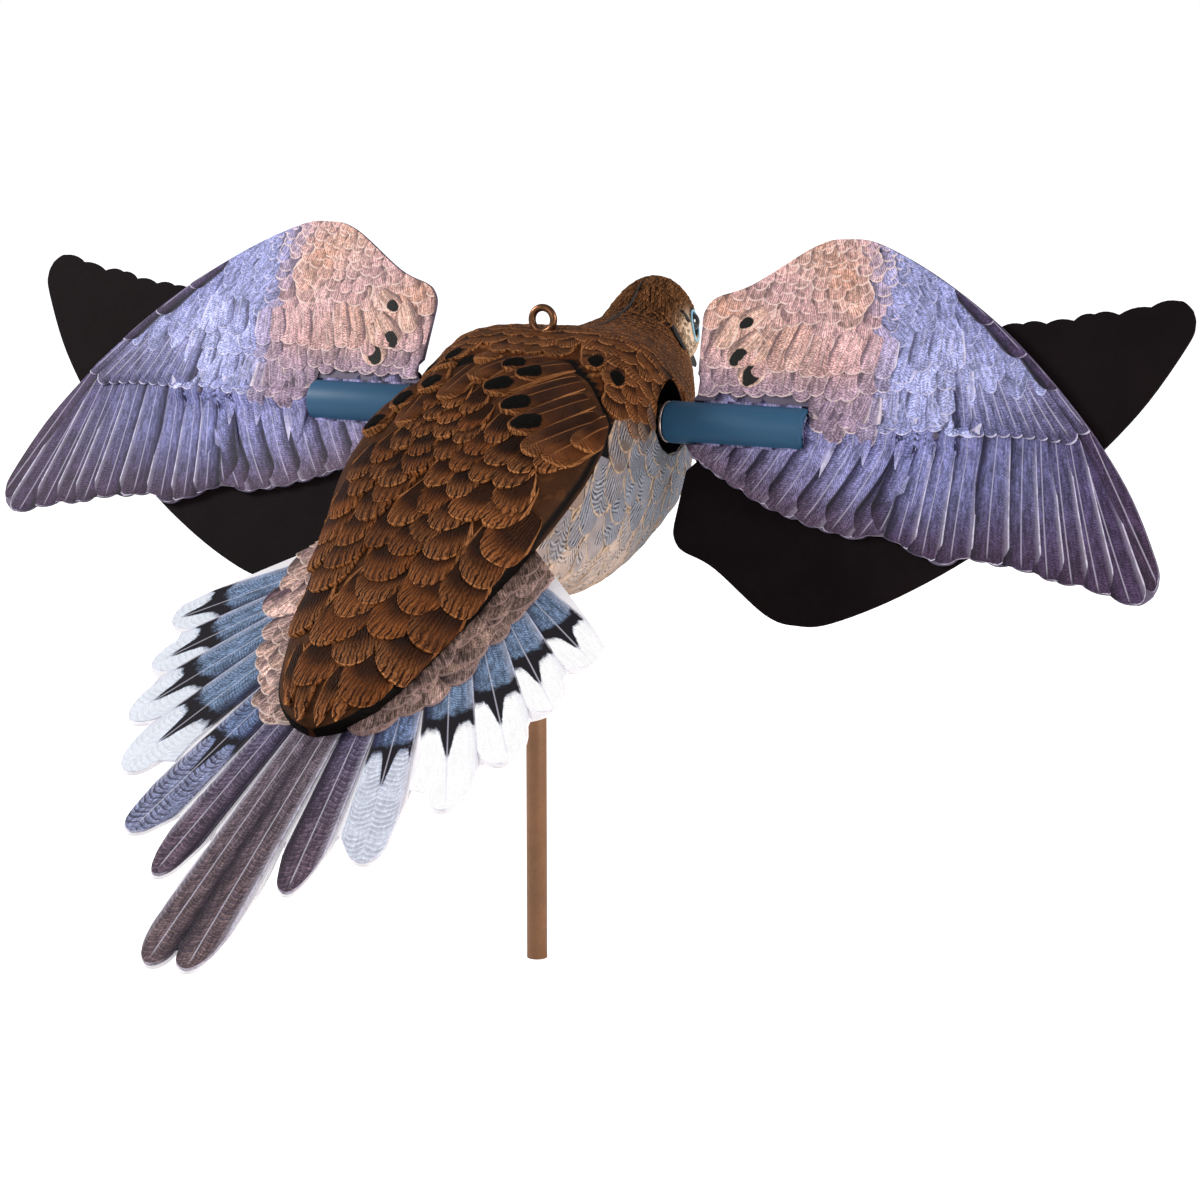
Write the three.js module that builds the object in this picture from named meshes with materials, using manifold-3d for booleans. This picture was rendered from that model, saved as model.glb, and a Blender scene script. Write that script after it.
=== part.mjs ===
// A flying dove decoy on a ground pole: a moulded bird with folded wings, a flat printed tail fan,
// and two pairs of flat wing blades that spin on one cross shaft through the breast.
// Millimetres. X to the bird's left, -Y the way it faces, Z up, origin at the foot of the pole.
import * as THREE from 'three';
import { mergeVertices } from 'three/addons/utils/BufferGeometryUtils.js';
import Module from 'manifold-3d';

const wasm = await Module();
wasm.setup();

// Driving dimensions
const SHAFT_Y = -14;          // the wing shaft, measured from the pole
const SHAFT_Z = 210;          // and above the pole's foot
const SHAFT_R = 2.5;
const SHAFT_HALF = 162;
const BORE_GAP = 0.05;        // running clearance of the shaft in the body
const GAP = 0.3;              // air between pieces that touch
const SLEEVE_R = 7.94;
const SLEEVE_IN = 49.5;       // where the rubber sleeve starts and ends along the shaft
const SLEEVE_OUT = 105.4;
const HUB_R = 6.2;
const HUB_IN = 42;
const SOCKET_R = 14.5;        // round hollow in each flank, around the hub
const SOCKET_DEPTH = 30;      // its floor, from the middle of the bird
const POLE_R = 3.97;
const POLE_TOP = -43;         // heights from here on are measured from the shaft
const BLADE_TILT = 20;        // degrees the blades lean forward
const BLADE_THICK = 1.2;
const BLADE_OFF = 0.5;        // each sheet's inner face, from the shaft's axis
const FAN_THICK = 1.4;
const BACK_PITCH = 32.3;      // degrees the back slopes down to the tail
const BACK_Y = 8.4;           // the back's own zero, from the shaft
const BACK_Z = 13.3;
const WALL = 3.9;             // the folded wings' upright side

const rad = THREE.MathUtils.degToRad;
const COS_B = Math.cos(rad(BACK_PITCH));
const SIN_B = Math.sin(rad(BACK_PITCH));

// The bird's trunk, bill to vent: y, z, lean of the ring, half width, height above and below
// the middle, and how square the ring is above and below
const TRUNK = [
  [-110.5, 16.5, 8, 5, 7.5, 5, 2, 2],
  [-104, 20, 5, 12, 17.2, 10.5, 2, 2],
  [-93, 23, 5, 16.6, 22.8, 15.5, 2, 2],
  [-82, 20, 7, 18.2, 24.4, 22, 1.95, 2],
  [-72, 12.5, 12, 24, 23.4, 28, 1.8, 2],
  [-57, 7, 22, 31.5, 25, 36, 2.2, 2.1],
  [-38, 1, 28, 39, 33.6, 47, 3.2, 2.1],
  [-15, -8, 32, 46.5, 46.4, 50, 4, 2.05],
  [12, -20, 32, 47.5, 44, 47, 4.2, 2.1],
  [40, -34, 32, 45, 36, 38, 4.6, 2.1],
  [66, -45, 32, 37, 28, 18, 3.6, 2.1],
  [88, -54, 32, 22, 20, 7, 2.1, 2.1],
  [106, -60, 32, 8, 12, 2.5, 2, 2],
];

// The folded wings seen from above: way along the back, half width, height of the lower rim
// and of the crown over the tail sheet
const WINGS = [
  [9, 21, 11, 18],
  [15, 29, 11, 18.9],
  [20, 34, 10.5, 19.5],
  [26, 39, 9.5, 19.9],
  [32, 43.5, 8.5, 20.2],
  [38, 46.5, 7.6, 20.3],
  [50, 48.6, 6.6, 20.8],
  [63, 48.8, 6, 21],
  [74, 47.8, 5.5, 20.8],
  [93, 44, 3.8, 20],
  [110, 39.3, 2, 19],
  [141, 32.3, 0.4, 16.8],
  [170, 24.5, 0.4, 13.6],
  [181, 20.2, 0.4, 11.8],
  [189, 14.7, 0.4, 10],
  [194, 7.5, 0.4, 7.6],
  [196, 1.5, 0.4, 5.4],
];

// A smooth curve through values that never overshoots them
function through(xs, ys) {
  const n = xs.length;
  const slope = xs.slice(1).map((x, i) => (ys[i + 1] - ys[i]) / (x - xs[i]));
  const tangent = ys.map((y, i) => {
    if (i === 0) return slope[0];
    if (i === n - 1) return slope[n - 2];
    return slope[i - 1] * slope[i] <= 0 ? 0 : 2 / (1 / slope[i - 1] + 1 / slope[i]);
  });
  return (x) => {
    let i = 0;
    while (i < n - 2 && x > xs[i + 1]) i += 1;
    const h = xs[i + 1] - xs[i];
    const t = THREE.MathUtils.clamp((x - xs[i]) / h, 0, 1);
    const a = (1 + 2 * t) * (1 - t) ** 2;
    const b = t * (1 - t) ** 2;
    const c = t * t * (3 - 2 * t);
    const d = t * t * (t - 1);
    return a * ys[i] + b * h * tangent[i] + c * ys[i + 1] + d * h * tangent[i + 1];
  };
}

// A table's columns as curves of the distance given for each row
function columns(table, at) {
  return table[0].map((_, i) => through(at, table.map((row) => row[i])));
}

const trunkAt = TRUNK.map(() => 0);
TRUNK.forEach((row, i) => {
  if (i > 0) trunkAt[i] = trunkAt[i - 1] + Math.hypot(row[0] - TRUNK[i - 1][0], row[1] - TRUNK[i - 1][1]);
});
const trunkCurves = columns(TRUNK, trunkAt);
const TRUNK_END = trunkAt[trunkAt.length - 1];
const wingCurves = columns(WINGS, WINGS.map((row) => row[0]));
const WINGS_START = WINGS[0][0];
const WINGS_END = WINGS[WINGS.length - 1][0];

// A point given along and above the tail sheet, which the back is laid out on
function onBack(x, along, above) {
  return new THREE.Vector3(
    x,
    BACK_Y + along * COS_B + above * SIN_B,
    BACK_Z - along * SIN_B + above * COS_B,
  );
}

// A rounded-square arc: the point at an angle from the top
function squircle(angle, power) {
  const s = Math.sin(angle);
  const c = Math.cos(angle);
  const r = (Math.abs(s) ** power + Math.abs(c) ** power) ** (-1 / power);
  return [s * r, c * r];
}

// The trunk's ring at a distance from the bill; angle 0 is the back, pi the belly
function trunkRing(at, angle) {
  const [y, z, lean, wide, up, down, upPower, downPower] = trunkCurves.map((f) => f(at));
  const top = Math.cos(angle) >= 0;
  const [x, h] = squircle(angle, top ? upPower : downPower);
  const rise = h * (top ? up : down);
  return new THREE.Vector3(x * wide, y + rise * Math.sin(rad(lean)), z + rise * Math.cos(rad(lean)));
}

// The folded wings' crown across the back; angle 0 is the middle, half pi the top of the side wall
function wingRing(along, angle) {
  const [, wide, rim, crown] = wingCurves.map((f) => f(along));
  const [x, h] = squircle(angle, 2.15);
  return onBack(x * wide, along, rim + WALL + h * (crown - rim - WALL));
}

// Turn a geometry into a solid that can be joined and cut, and back again
function solid(geometry) {
  const plain = new THREE.BufferGeometry();
  plain.setAttribute('position', geometry.getAttribute('position').clone());
  if (geometry.index) plain.setIndex(geometry.index.clone());
  const merged = mergeVertices(plain, 1e-4);
  return new wasm.Manifold(new wasm.Mesh({
    numProp: 3,
    vertProperties: new Float32Array(merged.getAttribute('position').array),
    triVerts: new Uint32Array(merged.index.array),
  }));
}

function shape(manifold) {
  const mesh = manifold.getMesh();
  const geometry = new THREE.BufferGeometry();
  geometry.setAttribute('position', new THREE.BufferAttribute(new Float32Array(mesh.vertProperties), 3));
  geometry.setIndex(new THREE.BufferAttribute(new Uint32Array(mesh.triVerts), 1));
  return geometry;
}

// A closed skin over rings of points that run clockwise seen from the first ring, with a flat fan
// over the first and the last
function skin(rings) {
  const n = rings[0].length;
  const points = rings.flat();
  const faces = [];
  for (let j = 0; j < rings.length - 1; j += 1) {
    for (let i = 0; i < n; i += 1) {
      const a = j * n + i;
      const b = j * n + ((i + 1) % n);
      faces.push(a, b, b + n, a, b + n, a + n);
    }
  }
  const middle = (ring) => ring.reduce((sum, p) => sum.add(p), new THREE.Vector3()).divideScalar(n);
  points.push(middle(rings[0]), middle(rings[rings.length - 1]));
  const last = (rings.length - 1) * n;
  for (let i = 0; i < n; i += 1) {
    const k = (i + 1) % n;
    faces.push(points.length - 2, k, i, points.length - 1, last + i, last + k);
  }
  const geometry = new THREE.BufferGeometry().setFromPoints(points);
  geometry.setIndex(faces);
  return geometry;
}

function steps(from, to, count) {
  return Array.from({ length: count }, (_, i) => from + ((to - from) * i) / (count - 1));
}

function trunkSkin(rows, around) {
  return skin(steps(0, TRUNK_END, rows).map((at) => (
    Array.from({ length: around }, (_, i) => trunkRing(at, (i / around) * 2 * Math.PI))
  )));
}

// How far the moulded feathers stand out at a place on the folded wings. Feathers lie like
// shingles: each rises from its root to its rounded tip, and the highest one there shows
function relief(plumes, along, out) {
  return plumes.reduce((best, p) => {
    const c = Math.cos(p.turn);
    const s = Math.sin(p.turn);
    const back = ((p.along - along) * c + (p.out - out) * s) / p.long;
    const side = Math.abs((p.out - out) * c - (p.along - along) * s) / (p.wide / 2);
    if (back < 0 || back > 1) return best;
    const edge = back < 0.5 ? Math.sqrt(1 - (1 - back / 0.5) ** 2) : 1;
    if (side > edge) return best;
    return Math.max(best, p.proud * (1 - 0.85 * back) * (1 - 0.45 * side * side));
  }, 0);
}

function wingSkin(rows, across, plumes) {
  const grid = steps(WINGS_START, WINGS_END, rows).map((along) => (
    steps(-Math.PI / 2, Math.PI / 2, across).map((a) => ({ along, p: wingRing(along, a) }))
  ));
  const half = (across - 1) / 2;
  grid.forEach((ring) => {
    for (let k = 0; k <= half; k += 1) {
      for (const way of [-1, 1]) {
        const spot = ring[half + way * k];
        const inner = ring[half + way * (k - 1)];
        spot.out = k === 0 ? 0 : inner.out + way * spot.p.distanceTo(inner.p);
      }
    }
  });
  return skin(grid.map((ring, j) => {
    const ahead = grid[Math.min(j + 1, rows - 1)];
    const behind = grid[Math.max(j - 1, 0)];
    const crown = ring.map((spot, i) => {
      const a = ahead[i].p.clone().sub(behind[i].p);
      const b = ring[Math.min(i + 1, across - 1)].p.clone().sub(ring[Math.max(i - 1, 0)].p);
      const lift = i === 0 || i === across - 1 ? 0 : relief(plumes, spot.along, spot.out);
      return spot.p.clone().addScaledVector(b.cross(a).normalize().negate(), lift);
    });
    const [, wide, rim] = wingCurves.map((f) => f(ring[0].along));
    return [...crown, onBack(wide, ring[0].along, rim), onBack(-wide, ring[0].along, rim)];
  }));
}

function halfArc(ring, along) {
  let here = ring(along, 0);
  return steps(0, Math.PI / 2, 21).reduce((sum, a) => {
    const next = ring(along, a);
    const total = sum + here.distanceTo(next);
    here = next;
    return total;
  }, 0);
}

// Rows of plumes down the folded wings, growing towards the tail
function backPlumes() {
  const list = [];
  let along = 78;
  let row = 0;
  while (along < 190) {
    const f = (along - 60) / 130;
    const wide = THREE.MathUtils.lerp(12.5, 19, f);
    const room = halfArc(wingRing, along) - wide * 0.45;
    const pitch = wide * 0.92;
    const count = Math.max(1, Math.floor((2 * room) / pitch) + (row % 2));
    for (let i = 0; i < count; i += 1) {
      const out = (i - (count - 1) / 2) * pitch;
      const far = along - Math.abs(out) * 0.12;
      if (Math.abs(out) < room) {
        list.push({ along: far, out, turn: out * 0.004, long: wide * 1.3, wide, proud: 2.3 });
      }
    }
    along += wide * 0.68;
    row += 1;
  }
  return list;
}

// Long shoulder feathers that fan from the groove in front of each folded wing
function shoulderPlumes() {
  const list = [];
  for (const side of [-1, 1]) {
    for (let i = 0; i < 6; i += 1) {
      const along = 26 + i * 9.2 - (i === 5 ? 8 : 0);
      const out = side * (1.5 + i * 8.6 + (i > 3 ? 3 : 0));
      list.push({ along, out, turn: side * (0.16 * i - 0.95), long: 27, wide: 12, proud: 2.6 });
    }
  }
  return list;
}

function cylinderX(radius, from, to, segments, y = 0, z = 0) {
  const geometry = new THREE.CylinderGeometry(radius, radius, to - from, segments);
  geometry.rotateZ(Math.PI / 2);
  geometry.translate((from + to) / 2, y, z);
  return geometry;
}

function cylinderZ(radius, from, to, segments, x = 0, y = 0) {
  const geometry = new THREE.CylinderGeometry(radius, radius, to - from, segments);
  geometry.rotateX(Math.PI / 2);
  geometry.translate(x, y, (from + to) / 2);
  return geometry;
}

// A thin plate with its outline drawn from above and its thickness towards +Z
function plate(outline, thick) {
  return new THREE.ExtrudeGeometry(outline, { depth: thick, bevelEnabled: false, curveSegments: 2 });
}

// One side of the tail fan's outline: way across and way along the back, from the notch between
// the two middle feathers out to the edge that meets the body. Seven rounded feathers
const FAN = [[0.6, 297], [1.8, 300.4], [4.4, 302.9], [8.2, 303.1], [11.6, 300], [14.1, 294],
  [15.2, 286], [15.4, 276], [15.2, 260], [13, 241],
  [15.6, 250], [18.8, 260], [21, 264], [24, 266.2], [26.8, 265.8], [29, 262.2], [30.4, 256],
  [30.8, 248], [30.6, 237],
  [33, 240], [36.3, 243.5], [39.6, 247.3], [43.5, 248.9], [47.4, 248.6], [50, 245.2], [50.4, 239.5],
  [48.6, 227.5], [44.6, 201.5],
  [48.3, 209], [52.6, 215.8], [56.2, 220.6], [60, 222.2], [63.8, 221.6], [67.4, 217], [67.9, 210],
  [65.3, 197.5],
  [68.6, 198.6], [72, 199.2], [75.4, 197.4], [77.6, 193], [77.3, 185], [73.3, 176.4],
  [76.2, 175.2], [79.8, 172.6], [82, 168.6], [81.8, 163.4], [79, 157.6], [73.4, 152],
  [77.8, 152.6], [82.4, 151], [85.8, 146.8], [86.4, 142], [85.4, 137], [57.1, 109.9], [14, 72]];
const FAN_NOTCH = 292.6;

// Points moved outwards by a margin, square to the line between their neighbours
function widened(points, extra) {
  const n = points.length;
  return points.map((p, i) => {
    const way = points[(i + 1) % n].clone().sub(points[(i + n - 1) % n]).normalize();
    return p.clone().add(new THREE.Vector2(-way.y, way.x).multiplyScalar(extra));
  });
}

function fanOutline(extra) {
  const left = [...FAN].reverse().map(([x, y]) => new THREE.Vector2(-x, y));
  const right = FAN.map(([x, y]) => new THREE.Vector2(x, y));
  return new THREE.Shape(widened([...left, new THREE.Vector2(0, FAN_NOTCH), ...right], extra));
}

function fanPlate(extra) {
  const geometry = plate(fanOutline(extra), FAN_THICK + 2 * extra);
  geometry.translate(0, 0, -FAN_THICK - extra);
  const along = new THREE.Matrix4().makeBasis(
    new THREE.Vector3(1, 0, 0),
    new THREE.Vector3(0, COS_B, -SIN_B),
    new THREE.Vector3(0, SIN_B, COS_B),
  );
  along.setPosition(0, BACK_Y, BACK_Z);
  geometry.applyMatrix4(along);
  return geometry;
}

// The bill, a slim cone that droops forward
function bill() {
  const line = [[-126, 6.2, 0.5], [-124.5, 7.6, 1.5], [-119, 11.6, 2.7], [-112, 15.5, 3.6],
    [-104, 18.5, 4.6]];
  return skin(line.map(([y, z, r]) => (
    Array.from({ length: 10 }, (_, i) => {
      const a = (i / 10) * 2 * Math.PI;
      return new THREE.Vector3(Math.sin(a) * r, y + Math.cos(a) * r * 0.5, z + Math.cos(a) * r * 0.9);
    })
  )));
}

function decoyBody() {
  const plumes = [...backPlumes(), ...shoulderPlumes()];
  let body = solid(trunkSkin(22, 26)).add(solid(wingSkin(53, 27, plumes)));
  body = body.add(solid(bill()));
  for (const side of [-1, 1]) {
    const eye = new THREE.SphereGeometry(4.2, 14, 9);
    eye.translate(side * 14.4, -91.5, 27.8);
    body = body.add(solid(eye));
    const [from, to] = side < 0 ? [-62, -SOCKET_DEPTH] : [SOCKET_DEPTH, 62];
    body = body.subtract(solid(cylinderX(SOCKET_R, from, to, 36, -7, 0.8)));
  }
  body = body.subtract(solid(cylinderX(SHAFT_R + BORE_GAP, -40, 40, 32)));
  body = body.subtract(solid(cylinderZ(POLE_R + GAP, -90, POLE_TOP + GAP, 24, 0, -SHAFT_Y)));
  body = body.subtract(solid(cylinderZ(5.7, 29.4, 40, 24, 0, 7.7)));
  body = body.subtract(solid(cylinderZ(1.8, 20, 40, 12, 0, 7.7)));
  body = body.subtract(solid(fanPlate(GAP)));
  return shape(body);
}

// The hanging ring: a flange on the back, a short shank in the body and an upright loop
function hangingRing() {
  const shank = solid(cylinderZ(1.5, 20.4, 31, 12, 0, 7.7));
  const flange = solid(cylinderZ(5.35, 29.7, 31.1, 24, 0, 7.7));
  const loop = new THREE.TorusGeometry(4.55, 1.4, 8, 18);
  loop.rotateX(Math.PI / 2);
  loop.translate(0, 7.7, 36.7);
  return shape(solid(loop).add(shank).add(flange));
}

// Half of a wing blade's outline: distance from the bird's middle and height over the shaft
const LEADING = [[60.9, 47.6], [76.2, 53.9], [99.2, 69.4], [112, 72.3], [125.4, 70.3], [150.5, 58.1],
  [178.6, 39], [207.2, 12.5], [229, -13.6], [243.1, -38.5], [245.1, -46.5], [243.7, -51.3]];
const TRAILING = [[238.2, -54.7], [228.3, -52], [217, -48.8], [208, -48.6], [200.7, -45.9], [190.7, -44.3],
  [181.9, -43.8], [172.8, -41.5], [167.2, -46.1], [159, -44], [148, -39.5], [138.2, -34.9], [131.8, -39.1],
  [123.7, -37.2], [115.7, -36], [107.4, -33.5], [99.1, -31], [90.8, -28], [83.3, -23.9], [76.1, -20.7],
  [70.1, -17.3], [64.1, -13.9], [59.6, -11]];

function bladeOutline(side, flip) {
  const at = ([x, s]) => new THREE.Vector2(side * x, flip * s);
  const outline = new THREE.Shape();
  outline.moveTo(...at([57.2, 41]));
  outline.lineTo(...at([59.3, 44.9]));
  outline.lineTo(...at(LEADING[0]));
  outline.splineThru(LEADING.slice(1).map(at));
  let [px, ps] = LEADING[LEADING.length - 1];
  TRAILING.forEach(([x, s]) => {
    outline.quadraticCurveTo(...at([(px + x) / 2 - 0.8, (ps + s) / 2 - 2.2]), ...at([x, s]));
    [px, ps] = [x, s];
  });
  outline.lineTo(...at([58, -SLEEVE_R - 0.36]));
  outline.lineTo(...at([SLEEVE_OUT + GAP, -SLEEVE_R - 0.36]));
  outline.lineTo(...at([SLEEVE_OUT + GAP, SLEEVE_R + 0.36]));
  outline.lineTo(...at([58.5, SLEEVE_R + 0.36]));
  outline.lineTo(...at([62.5, 14.5]));
  outline.lineTo(...at([58.9, 18.1]));
  return outline;
}

// A blade lies beside the shaft's axis and bulges over it in a half tube; face +1 looks to the tail.
// It is drawn flat, with its face towards -Z, then stood up so that its Y is its height
function blade(side, face, flip) {
  const sheet = plate(bladeOutline(side, flip), BLADE_THICK);
  sheet.translate(0, 0, face > 0 ? -BLADE_OFF - BLADE_THICK : BLADE_OFF);
  const tube = new THREE.CapsuleGeometry(4.2, 60, 3, 14);
  tube.rotateZ(Math.PI / 2);
  tube.translate(side * 132, 0, 0);
  const keep = new THREE.BoxGeometry(62.5, 12, 6);
  keep.translate(side * (SLEEVE_OUT + GAP + 31.25), 0, -face * (BLADE_OFF + 3));
  const rivet = new THREE.SphereGeometry(1.5, 8, 5);
  rivet.translate(side * 157, 0, -face * 3.8);
  const hollow = cylinderX(SHAFT_R + GAP, side * 132 - 31.5, side * 132 + 31.5, 14);
  const whole = solid(sheet).add(solid(tube).intersect(solid(keep))).add(solid(rivet));
  const geometry = shape(whole.subtract(solid(hollow)));
  geometry.rotateX(Math.PI / 2);
  return geometry;
}

function lathe(profile, segments) {
  const points = profile.map(([r, h]) => new THREE.Vector2(r, h));
  points.push(points[0].clone());
  return new THREE.LatheGeometry(points, segments);
}

function alongX(geometry, side) {
  geometry.rotateZ(side > 0 ? -Math.PI / 2 : Math.PI / 2);
  return geometry;
}

function hub() {
  const r = SHAFT_R + GAP;
  return lathe([[r, HUB_IN], [HUB_R, HUB_IN], [HUB_R, 48.2], [SLEEVE_R - 0.2, 48.2], [SLEEVE_R - 0.2, 49.2],
    [r, 49.2]], 24);
}

function sleeve() {
  const r = SHAFT_R + GAP;
  return lathe([[r, SLEEVE_IN], [SLEEVE_R - 0.6, SLEEVE_IN], [SLEEVE_R, SLEEVE_IN + 0.6],
    [SLEEVE_R, SLEEVE_OUT - 0.6], [SLEEVE_R - 0.6, SLEEVE_OUT], [r, SLEEVE_OUT]], 24);
}

// Colours
const look = {
  moulding: { color: 0x5f3c20, roughness: 0.62, metalness: 0 },
  tailPrint: { color: 0x8c93ab, roughness: 0.5, metalness: 0 },
  wingPrint: { color: 0xa58d98, roughness: 0.5, metalness: 0 },
  darkSheet: { color: 0x1c1213, roughness: 0.6, metalness: 0 },
  bronze: { color: 0x6b4326, roughness: 0.4, metalness: 0.9 },
  steel: { color: 0xb4aaa8, roughness: 0.35, metalness: 1 },
  rubber: { color: 0x2c566c, roughness: 0.55, metalness: 0 },
  pole: { color: 0x8f7049, roughness: 0.5, metalness: 0.3 },
};

const decoy = new THREE.Group();
decoy.name = 'motion_dove_decoy';
const bird = new THREE.Group();
bird.name = 'bird';
bird.position.set(0, SHAFT_Y, SHAFT_Z);
const spinner = new THREE.Group();
spinner.name = 'spinner';
decoy.add(bird);
bird.add(spinner);

function put(parent, name, geometry, material) {
  const mesh = new THREE.Mesh(geometry, new THREE.MeshStandardMaterial(look[material]));
  mesh.name = name;
  parent.add(mesh);
  return mesh;
}

put(bird, 'decoy_body', decoyBody(), 'moulding');
put(bird, 'tail_fan', fanPlate(0), 'tailPrint');
put(bird, 'hanging_ring', hangingRing(), 'bronze');
put(decoy, 'pole', cylinderZ(POLE_R, 0, SHAFT_Z + POLE_TOP, 32), 'pole');

put(spinner, 'wing_shaft', cylinderX(SHAFT_R, -SHAFT_HALF, SHAFT_HALF, 32), 'steel');
for (const [name, side] of [['left', 1], ['right', -1]]) {
  put(spinner, `wing_hub_${name}`, alongX(hub(), side), 'steel');
  put(spinner, `wing_sleeve_${name}`, alongX(sleeve(), side), 'rubber');
  const printed = put(spinner, `printed_blade_${name}`, blade(side, 1, 1), 'wingPrint');
  const dark = put(spinner, `dark_blade_${name}`, blade(side, -1, -1), 'darkSheet');
  printed.rotation.x = rad(BLADE_TILT);
  dark.rotation.x = rad(BLADE_TILT);
}

export default decoy;
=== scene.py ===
import bpy
import math
import random
import numpy as np
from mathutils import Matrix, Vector


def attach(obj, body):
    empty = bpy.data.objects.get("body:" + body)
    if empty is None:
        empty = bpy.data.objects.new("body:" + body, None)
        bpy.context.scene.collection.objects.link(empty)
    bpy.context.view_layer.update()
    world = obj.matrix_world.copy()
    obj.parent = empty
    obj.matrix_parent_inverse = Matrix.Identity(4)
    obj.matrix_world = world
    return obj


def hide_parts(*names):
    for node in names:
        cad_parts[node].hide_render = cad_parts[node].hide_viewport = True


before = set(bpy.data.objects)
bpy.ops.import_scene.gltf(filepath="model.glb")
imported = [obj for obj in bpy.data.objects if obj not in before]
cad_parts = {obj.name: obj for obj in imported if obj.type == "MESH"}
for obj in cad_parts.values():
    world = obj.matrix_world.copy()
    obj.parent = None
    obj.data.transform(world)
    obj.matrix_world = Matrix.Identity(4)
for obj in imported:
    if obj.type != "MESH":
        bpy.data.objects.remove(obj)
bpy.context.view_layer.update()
bpy.ops.object.select_all(action="DESELECT")
rng = random.Random(11)

# The decoy is laid out in millimetres from the middle of the wing shaft
SHAFT = np.array([0.0, -14.0, 210.0])
BACK_PITCH = math.radians(32.3)
COS_B, SIN_B = math.cos(BACK_PITCH), math.sin(BACK_PITCH)
BACK_Y, BACK_Z = 8.4, 13.3
WALL = 3.9
SIDES = ((-1, "right"), (1, "left"))
BLADE_TILT = math.radians(20)
BLADE_FACE = 1.7
# The wing socket in each flank: its middle, half length and half height, where it starts and is cut to
SOCKET_Y, SOCKET_Z, SOCKET_LONG, SOCKET_HIGH, SOCKET_DEPTH, SOCKET_END = -7.9, 0.8, 16.6, 14.2, 30.0, 62
BORE_RADIUS, SHEET_THICK, FAN_THICK, DARK_FACE = 2.55, 1.2, 1.4, -0.5

# Trunk rings, bill to vent: y, z, lean, half width, height above, height below, squareness above, below
TRUNK = np.array([
    [-110.5, 16.5, 8, 5, 7.5, 5, 2, 2], [-104, 20, 5, 12, 17.2, 10.5, 2, 2],
    [-93, 23, 5, 16.6, 22.8, 15.5, 2, 2], [-82, 20, 7, 18.2, 24.4, 22, 1.95, 2],
    [-72, 12.5, 12, 24, 23.4, 28, 1.8, 2], [-57, 7, 22, 31.5, 25, 36, 2.2, 2.1],
    [-38, 1, 28, 39, 33.6, 47, 3.2, 2.1], [-15, -8, 32, 46.5, 46.4, 50, 4, 2.05],
    [12, -20, 32, 47.5, 44, 47, 4.2, 2.1], [40, -34, 32, 45, 36, 38, 4.6, 2.1],
    [66, -45, 32, 37, 28, 18, 3.6, 2.1], [88, -54, 32, 22, 20, 7, 2.1, 2.1],
    [106, -60, 32, 8, 12, 2.5, 2, 2]])
# Folded wings: way along the back, half width, height of the rim and of the crown
WINGS = np.array([
    [9, 21, 11, 18], [15, 29, 11, 18.9], [20, 34, 10.5, 19.5], [26, 39, 9.5, 19.9], [32, 43.5, 8.5, 20.2],
    [38, 46.5, 7.6, 20.3], [50, 48.6, 6.6, 20.8], [63, 48.8, 6, 21], [74, 47.8, 5.5, 20.8], [93, 44, 3.8, 20],
    [110, 39.3, 2, 19], [141, 32.3, 0.4, 16.8], [170, 24.5, 0.4, 13.6], [181, 20.2, 0.4, 11.8],
    [189, 14.7, 0.4, 10], [194, 7.5, 0.4, 7.6], [196, 1.5, 0.4, 5.4]])
# One side of the tail fan's outline, and of a wing blade's
FAN = [[0.6, 297], [1.8, 300.4], [4.4, 302.9], [8.2, 303.1], [11.6, 300], [14.1, 294], [15.2, 286],
       [15.4, 276], [15.2, 260], [13, 241], [15.6, 250], [18.8, 260], [21, 264], [24, 266.2],
       [26.8, 265.8], [29, 262.2], [30.4, 256], [30.8, 248], [30.6, 237], [33, 240], [36.3, 243.5],
       [39.6, 247.3], [43.5, 248.9], [47.4, 248.6], [50, 245.2], [50.4, 239.5], [48.6, 227.5],
       [44.6, 201.5], [48.3, 209], [52.6, 215.8], [56.2, 220.6], [60, 222.2], [63.8, 221.6], [67.4, 217],
       [67.9, 210], [65.3, 197.5], [68.6, 198.6], [72, 199.2], [75.4, 197.4], [77.6, 193], [77.3, 185],
       [73.3, 176.4], [76.2, 175.2], [79.8, 172.6], [82, 168.6], [81.8, 163.4], [79, 157.6], [73.4, 152],
       [77.8, 152.6], [82.4, 151], [85.8, 146.8], [86.4, 142], [85.4, 137], [57.1, 109.9], [14, 72]]
LEADING = [[57.3, 38.5], [57.6, 42.3], [59.6, 46.0], [63.2, 48.7], [76.2, 53.9], [99.2, 69.4], [112, 72.3],
           [125.4, 70.3], [150.5, 58.1], [178.6, 39], [207.2, 12.5], [229, -13.6], [243.1, -38.5],
           [245.1, -46.5], [243.7, -51.3]]
TRAILING = [[238.2, -54.7], [228.3, -52], [217, -48.8], [208, -48.6], [200.7, -45.9], [190.7, -44.3],
            [181.9, -43.8], [172.8, -41.5], [167.2, -46.1], [159, -44], [148, -39.5], [138.2, -34.9],
            [131.8, -39.1], [123.7, -37.2], [115.7, -36], [107.4, -33.5], [99.1, -31], [90.8, -28],
            [83.3, -23.9], [76.1, -20.7], [70.1, -17.3], [64.1, -13.9], [59.6, -11]]


def paint(red, green, blue):
    """A paint, 0 to 255, as the linear colour that the shaders take."""
    return tuple(c / 255 / 12.92 if c <= 10 else ((c / 255 + 0.055) / 1.055) ** 2.4
                 for c in (red, green, blue))


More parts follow.
